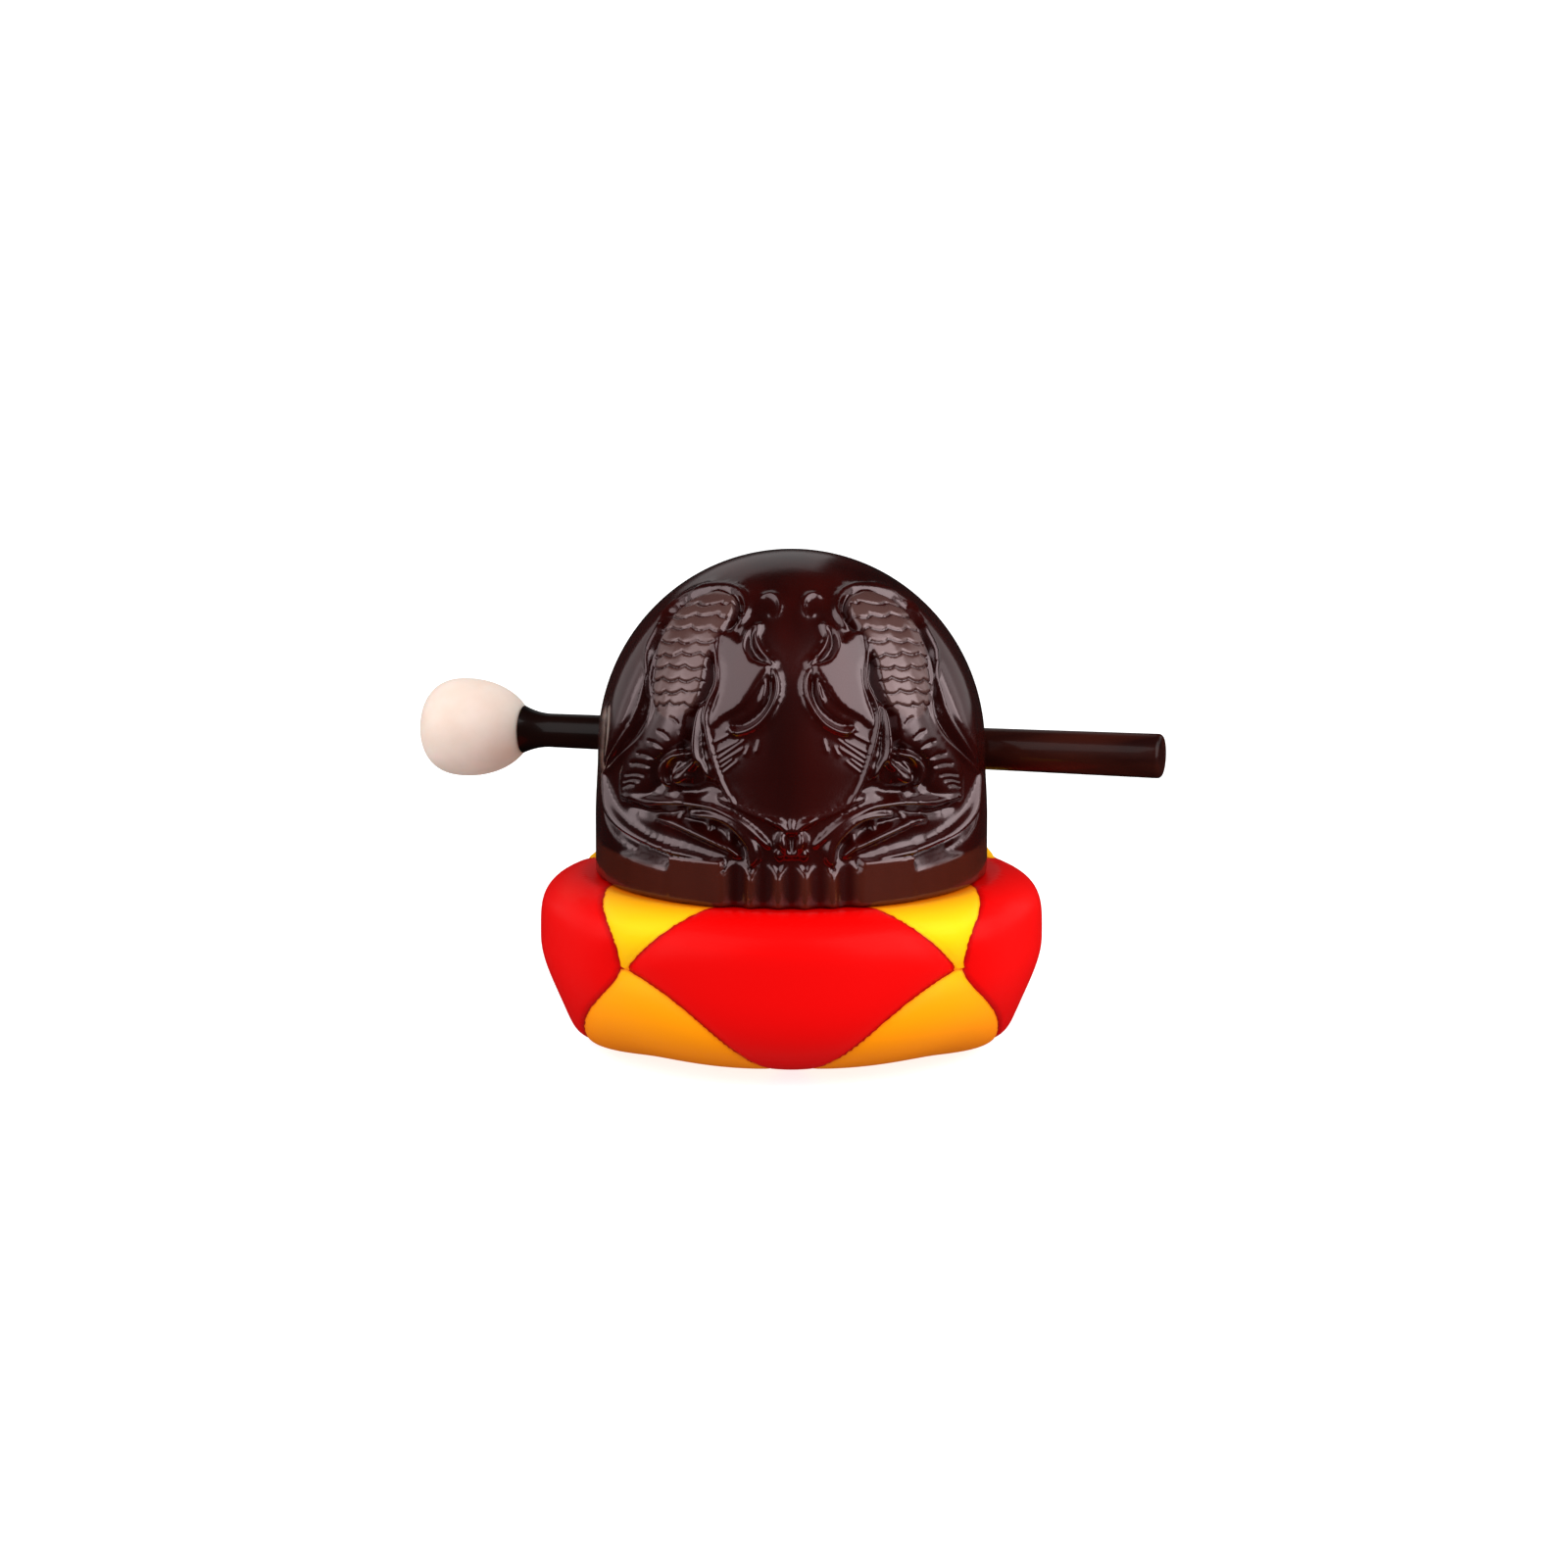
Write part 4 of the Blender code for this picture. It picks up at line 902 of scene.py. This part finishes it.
def makeCushion(material):
    bm = bmesh.new()
    bmesh.ops.create_icosphere(bm, subdivisions=cushion["level"], radius=1.0)
    mesh = meshOf(bm, "satin_cushion")
    ball = readPoints(mesh)
    kept = mesh.attributes.new("ball", "FLOAT_VECTOR", "POINT")
    kept.data.foreach_set("vector", ball.astype(np.float32).ravel())
    azimuth, tilt = cushionPlace(ball)
    seam, crossing = seamDistances(cushionPoint(azimuth, tilt, 0.0))
    pull = cushion["seamPull"] * np.exp(-seam / cushion["seamSpread"])
    pull += cushion["crossingPull"] * np.exp(-crossing / cushion["crossingSpread"])
    points = cushionPoint(azimuth, tilt, pull)
    piece = addObject(mesh, "satin_cushion", material)
    points = stuffed(piece, points, seam)
    writePoints(mesh, points * mm)
    finer = piece.modifiers.new("finer", "SUBSURF")
    finer.levels = 1
    finer.render_levels = 1
    applyModifiers(piece)
    mesh = piece.data
    ball = np.empty(3 * len(mesh.vertices))
    mesh.attributes["ball"].data.foreach_get("vector", ball)
    ball = ball.reshape(-1, 3)
    ball /= np.linalg.norm(ball, axis=1)[:, None]
    azimuth, tilt = cushionPlace(ball)
    seam, crossing = seamDistances(cushionPoint(azimuth, tilt, 0.0))
    points = readPoints(mesh) / mm
    groove = cushion["grooveDepth"] * np.exp(-((seam / cushion["grooveSpread"]) ** 2))
    normals = np.empty(3 * len(mesh.vertices))
    mesh.vertices.foreach_get("normal", normals)
    points -= normals.reshape(-1, 3) * groove[:, None]
    radius = np.hypot(points[:, 0], points[:, 1])
    upper = smoothStep(*cushion["upperHeight"], points[:, 2])
    ring = upper * np.exp(-(((radius - cushion["puffRadius"]) / cushion["puffReach"]) ** 2))
    for turn, rise in cushion["puffs"]:
        points[:, 2] += rise * ring * np.exp(-(((azimuth - turn) / cushion["puffTurn"]) ** 2))
    rim = cushion["rimRise"] * smoothStep(0.0, cushion["rimSpread"], radius - cushion["seatRadius"])
    points[:, 2] = np.clip(points[:, 2], 0.0, cushion["seat"] - cushion["seatGap"] + rim)
    writePoints(mesh, points * mm)
    tip = seamTilt(azimuth, tilt > 0.0)
    writeAttribute(mesh, "patch", np.sign(tip - np.abs(tilt) / (0.5 * math.pi)) * seam)
    # Painted shade on the upper cushion beside the drum's foot
    beside = np.exp(-np.clip(radius - cushion["footRadius"], 0.0, None) / cushion["footShade"])
    writeAttribute(mesh, "footShade", beside * upper)
    mesh.shade_smooth()
    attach(piece, "root")
    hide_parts("cushion")
    print("cushion:", len(mesh.polygons), "faces")


# Beater

beater = {
    "yaw": math.radians(-15.3),
    "middleDepth": 24.0,
    "startX": -70.0,
    "stickLength": 170.5,
    "headEndRadius": 4.4,
    "plainEndRadius": 5.7,
    "collarRadius": 6.2,
    "collarLength": 7.5,
    "endRounding": 1.2,
    "collarSteps": 14,
    "stickSteps": 40,
    "endSteps": 8,
    "stickSides": 64,
    "ballRadius": 12.8,
    "ballFront": 12.0,
    "ballBack": 17.4,
    "ballCut": 15.2,
    "ballBluntness": 0.8,
    "ballSteps": 24,
    "ballSides": 96,
    "weld": 0.0001,
    "sharpAngle": math.radians(50.0),
    "touch": 0.3,
}


def turned(name, outline, sides, place):
    bm = bmesh.new()
    verts = [bm.verts.new((along, 0.0, radius)) for along, radius in outline]
    edges = [bm.edges.new(pair) for pair in zip(verts[:-1], verts[1:])]
    bmesh.ops.spin(
        bm,
        geom=verts + edges,
        cent=(0.0, 0.0, 0.0),
        axis=(1.0, 0.0, 0.0),
        angle=2.0 * math.pi,
        steps=sides,
        use_merge=True,
    )
    bmesh.ops.remove_doubles(bm, verts=bm.verts, dist=beater["weld"])
    bmesh.ops.recalc_face_normals(bm, faces=bm.faces)
    bmesh.ops.transform(bm, matrix=place @ Matrix.Scale(mm, 4), verts=bm.verts)
    mesh = meshOf(bm, name)
    mesh.shade_smooth()
    mesh.set_sharp_from_angle(angle=beater["sharpAngle"])
    return mesh


def stickOutline():
    outline = [(0.0, 0.0)]
    steps = beater["collarSteps"]
    for i in range(steps + 1):
        t = i / steps
        flare = (beater["collarRadius"] - beater["headEndRadius"]) * (1.0 - t) ** 2
        outline.append((t * beater["collarLength"], beater["headEndRadius"] + flare))
    steps = beater["stickSteps"]
    straight = beater["stickLength"] - beater["collarLength"] - beater["endRounding"]
    for i in range(1, steps):
        t = i / steps
        radius = beater["headEndRadius"] + t * (beater["plainEndRadius"] - beater["headEndRadius"])
        outline.append((beater["collarLength"] + t * straight, radius))
    steps = beater["endSteps"]
    for i in range(steps + 1):
        bend = 0.5 * math.pi * i / steps
        along = beater["stickLength"] - beater["endRounding"] * (1.0 - math.sin(bend))
        outline.append((along, beater["plainEndRadius"] - beater["endRounding"] * (1.0 - math.cos(bend))))
    outline.append((beater["stickLength"], 0.0))
    return outline


def ballOutline():
    outline = []
    steps, bluntness = beater["ballSteps"], beater["ballBluntness"]
    for i in range(steps + 1):
        bend = 0.5 * math.pi * i / steps
        front = -beater["ballFront"] * math.cos(bend) ** bluntness
        outline.append((front, beater["ballRadius"] * math.sin(bend) ** bluntness))
    for i in range(1, steps + 1):
        along = beater["ballCut"] * i / steps
        outline.append((along, beater["ballRadius"] * math.sqrt(1.0 - (along / beater["ballBack"]) ** 2)))
    outline.append((beater["ballCut"], 0.0))
    return outline


def beaterPlace():
    lift = math.asin((beater["plainEndRadius"] - beater["headEndRadius"]) / beater["stickLength"])
    start = Vector((
        beater["startX"],
        beater["middleDepth"] + beater["startX"] * math.tan(beater["yaw"]),
        drum["base"] + drum["slitFloor"] + beater["touch"] + beater["headEndRadius"],
    ))
    turn = Matrix.Rotation(beater["yaw"], 4, "Z") @ Matrix.Rotation(-lift, 4, "Y")
    return Matrix.Translation(start * mm) @ turn


def makeBeater(stickMaterial, ballMaterial):
    place = beaterPlace()
    stickMesh = turned("beater_stick", stickOutline(), beater["stickSides"], place)
    stick = addObject(stickMesh, "beater_stick", stickMaterial)
    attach(stick, "root")
    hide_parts("mallet_stick")
    back = Matrix.Translation((-(beater["ballCut"] + beater["touch"]) * mm, 0.0, 0.0))
    ballMesh = turned("beater_ball", ballOutline(), beater["ballSides"], place @ back)
    ball = addObject(ballMesh, "beater_ball", ballMaterial)
    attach(ball, "root")
    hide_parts("mallet_head")
    print("beater made")


# Materials

lacquerLook = {
    "dark": [(0.32, (0.009, 0.0004, 0.0002)), (0.68, (0.026, 0.0010, 0.0004))],
    "brown": [(0.32, (0.040, 0.0055, 0.0022)), (0.68, (0.058, 0.0085, 0.0036))],
    # Colour of the painted sheen on the scales
    "paintedScaleSheen": (0.072, 0.034, 0.030),
    "settings": {"Roughness": 0.19, "IOR": 1.75, "Specular Tint": (1.0, 0.80, 0.83, 1.0)},
}

satinLook = {
    "red": (0.68, 0.0006, 0.0006),
    # Painted light and shade: the yellow is lighter higher up, where light falls from above, orange towards
    # the ground, and darker again at the very top
    "yellow": [
        (0.10, (0.86, 0.20, 0.001)),
        (0.45, (0.86, 0.30, 0.001)),
        (0.66, (0.88, 0.47, 0.002)),
        (0.80, (0.88, 0.58, 0.004)),
        (0.93, (0.88, 0.40, 0.003)),
    ],
    # Height over which the painted light of the yellow runs
    "paintedLightHeight": 0.05,
    # Lines along each seam: a dark line of painted shade on the red side and a pale orange one on the
    # yellow side
    "seamShadeLines": [
        (0.44, (1.0, 1.0, 1.0)),
        (0.485, (0.94, 0.62, 1.0)),
        (0.498, (0.90, 0.50, 2.0)),
        (0.503, (0.34, 0.34, 0.34)),
        (0.55, (0.72, 0.72, 0.72)),
        (0.66, (1.0, 1.0, 1.0)),
    ],
    "seamShadeReach": 5.0,
    # Colour of the painted shade beside the drum's foot
    "footShade": [(0.0, (1.0, 1.0, 1.0)), (1.0, (0.72, 0.22, 0.3))],
    "settings": {"Roughness": 0.34, "Specular IOR Level": 0.05},
}

stickLook = {
    "dark": [(0.35, (0.002, 0.0009, 0.0008)), (0.62, (0.009, 0.0020, 0.0012))],
    "red": [(0.35, (0.012, 0.0018, 0.0014)), (0.62, (0.040, 0.0060, 0.0028))],
    # Where the redder part starts and ends along the stick, partly painted reflection of the red cushion
    "redFrom": -0.03,
    "redTo": 0.05,
    "settings": {
        "Roughness": 0.35,
        "Specular IOR Level": 0.08,
        "Coat Weight": 0.16,
        "Coat Roughness": 0.1,
    },
}

rubberLook = {
    "cream": [(0.3, (0.67, 0.54, 0.46)), (0.7, (0.71, 0.59, 0.52))],
    "settings": {
        "Roughness": 0.5,
        "Subsurface Weight": 0.5,
        "Subsurface Scale": 1.0,
        "Subsurface Radius": (0.008, 0.004, 0.003),
    },
}


def newMaterial(name, settings):
    material = bpy.data.materials.new(name)
    material.use_nodes = True
    tree = material.node_tree
    shader = tree.nodes["Principled BSDF"]
    for key, value in settings.items():
        shader.inputs[key].default_value = value
    return material, tree, shader


def addNode(tree, kind, **values):
    node = tree.nodes.new(kind)
    for key, value in values.items():
        setattr(node, key, value)
    return node


def attributeOf(tree, name):
    return addNode(tree, "ShaderNodeAttribute", attribute_name=name).outputs["Fac"]


# One axis of the place on the piece, in metres
def placeOf(tree, axis):
    coords = addNode(tree, "ShaderNodeTexCoord")
    axes = addNode(tree, "ShaderNodeSeparateXYZ")
    tree.links.new(coords.outputs["Object"], axes.inputs["Vector"])
    return axes.outputs[axis]


def mathOf(tree, operation, source, *numbers):
    node = addNode(tree, "ShaderNodeMath", operation=operation)
    tree.links.new(source, node.inputs[0])
    for k, number in enumerate(numbers):
        node.inputs[k + 1].default_value = number
    return node.outputs[0]


def noiseAt(tree, scale, detail, stretch=(1.0, 1.0, 1.0)):
    coords = addNode(tree, "ShaderNodeTexCoord")
    mapping = addNode(tree, "ShaderNodeMapping")
    mapping.inputs["Scale"].default_value = stretch
    noise = addNode(tree, "ShaderNodeTexNoise")
    noise.inputs["Scale"].default_value = scale
    noise.inputs["Detail"].default_value = detail
    tree.links.new(coords.outputs["Object"], mapping.inputs["Vector"])
    tree.links.new(mapping.outputs["Vector"], noise.inputs["Vector"])
    return noise.outputs["Fac"]


def rampOf(tree, source, stops):
    ramp = addNode(tree, "ShaderNodeValToRGB")
    elements = ramp.color_ramp.elements
    while len(elements) < len(stops):
        elements.new(0.5)
    for element, (place, colour) in zip(elements, stops):
        element.position = place
        element.color = (*colour, 1.0)
    tree.links.new(source, ramp.inputs["Fac"])
    return ramp.outputs["Color"]


def bumpOf(tree, shader, height, strength, distance):
    bump = addNode(tree, "ShaderNodeBump")
    bump.inputs["Strength"].default_value = strength
    bump.inputs["Distance"].default_value = distance
    tree.links.new(height, bump.inputs["Height"])
    tree.links.new(bump.outputs["Normal"], shader.inputs["Normal"])


def mixOf(tree, factor, first, second, blend="MIX"):
    mix = addNode(tree, "ShaderNodeMix", data_type="RGBA", blend_type=blend)
    for socket, value in (("Factor", factor), ("A", first), ("B", second)):
        if isinstance(value, (tuple, float)):
            mix.inputs[socket].default_value = (*value, 1.0) if isinstance(value, tuple) else value
        else:
            tree.links.new(value, mix.inputs[socket])
    return mix.outputs["Result"]


# Dark red over the carving, plain brown at the foot, and painted sheen lightening the scales, fading to
# painted shade at the top of each scale and in the grooves
def lacqueredWood():
    material, tree, shader = newMaterial("lacquered_wood", lacquerLook["settings"])
    grain = noiseAt(tree, 60.0, detail=6.0, stretch=(1.0, 1.0, 0.16))
    dark = rampOf(tree, grain, lacquerLook["dark"])
    brown = rampOf(tree, grain, lacquerLook["brown"])
    base = mixOf(tree, attributeOf(tree, "band"), dark, brown)
    # Painted sheen on the scales
    base = mixOf(tree, attributeOf(tree, "paintedScaleSheen"), base, lacquerLook["paintedScaleSheen"])
    tree.links.new(base, shader.inputs["Base Color"])
    bumpOf(tree, shader, noiseAt(tree, 220.0, detail=3.0), strength=0.12, distance=0.0003)
    return material


# Red and yellow patches. The yellow is painted lighter higher up and orange towards the ground as painted
# light and shade, and darker beside the drum's foot as painted shade, and along each seam the stitch lines
# draw a dark line of painted shade on the red side and a pale one on the yellow side.
# The attribute "patch" is the distance from the seam, above zero on the red side.
def satin():
    material, tree, shader = newMaterial("satin_patchwork", satinLook["settings"])
    patch = attributeOf(tree, "patch")
    # The yellow's painted light and shade follow the height
    height = mathOf(tree, "MULTIPLY", placeOf(tree, "Z"), 1.0 / satinLook["paintedLightHeight"])
    yellow = rampOf(tree, height, satinLook["yellow"])
    cloth = mixOf(tree, mathOf(tree, "GREATER_THAN", patch, 0.0), yellow, satinLook["red"])
    # Place across the seam, for the painted seam shade
    beside = mathOf(tree, "MULTIPLY_ADD", patch, 0.5 / satinLook["seamShadeReach"], 0.5)
    cloth = mixOf(tree, 1.0, cloth, rampOf(tree, beside, satinLook["seamShadeLines"]), "MULTIPLY")
    # Painted shade beside the drum's foot
    footShaded = rampOf(tree, attributeOf(tree, "footShade"), satinLook["footShade"])
    cloth = mixOf(tree, 1.0, cloth, footShaded, "MULTIPLY")
    tree.links.new(cloth, shader.inputs["Base Color"])
    weave = noiseAt(tree, 900.0, detail=2.0, stretch=(1.0, 1.0, 4.0))
    bumpOf(tree, shader, weave, strength=0.08, distance=0.0002)
    return material


# Nearly black at the head and redder towards the plain end, partly the wood's own tone and partly painted
# reflection of the red cushion
def darkStick():
    material, tree, shader = newMaterial("dark_stick", stickLook["settings"])
    grain = noiseAt(tree, 90.0, detail=5.0, stretch=(0.12, 1.0, 1.0))
    along = addNode(tree, "ShaderNodeMapRange")
    along.inputs["From Min"].default_value = stickLook["redFrom"]
    along.inputs["From Max"].default_value = stickLook["redTo"]
    tree.links.new(placeOf(tree, "X"), along.inputs["Value"])
    dark = rampOf(tree, grain, stickLook["dark"])
    red = rampOf(tree, grain, stickLook["red"])
    base = mixOf(tree, along.outputs["Result"], dark, red)
    tree.links.new(base, shader.inputs["Base Color"])
    return material


def creamRubber():
    material, tree, shader = newMaterial("cream_rubber", rubberLook["settings"])
    base = rampOf(tree, noiseAt(tree, 140.0, detail=3.0), rubberLook["cream"])
    tree.links.new(base, shader.inputs["Base Color"])
    return material


addCamera()
addStudio()
print("studio made")
makeDrum(lacqueredWood())
makeCushion(satin())
makeBeater(darkStick(), creamRubber())
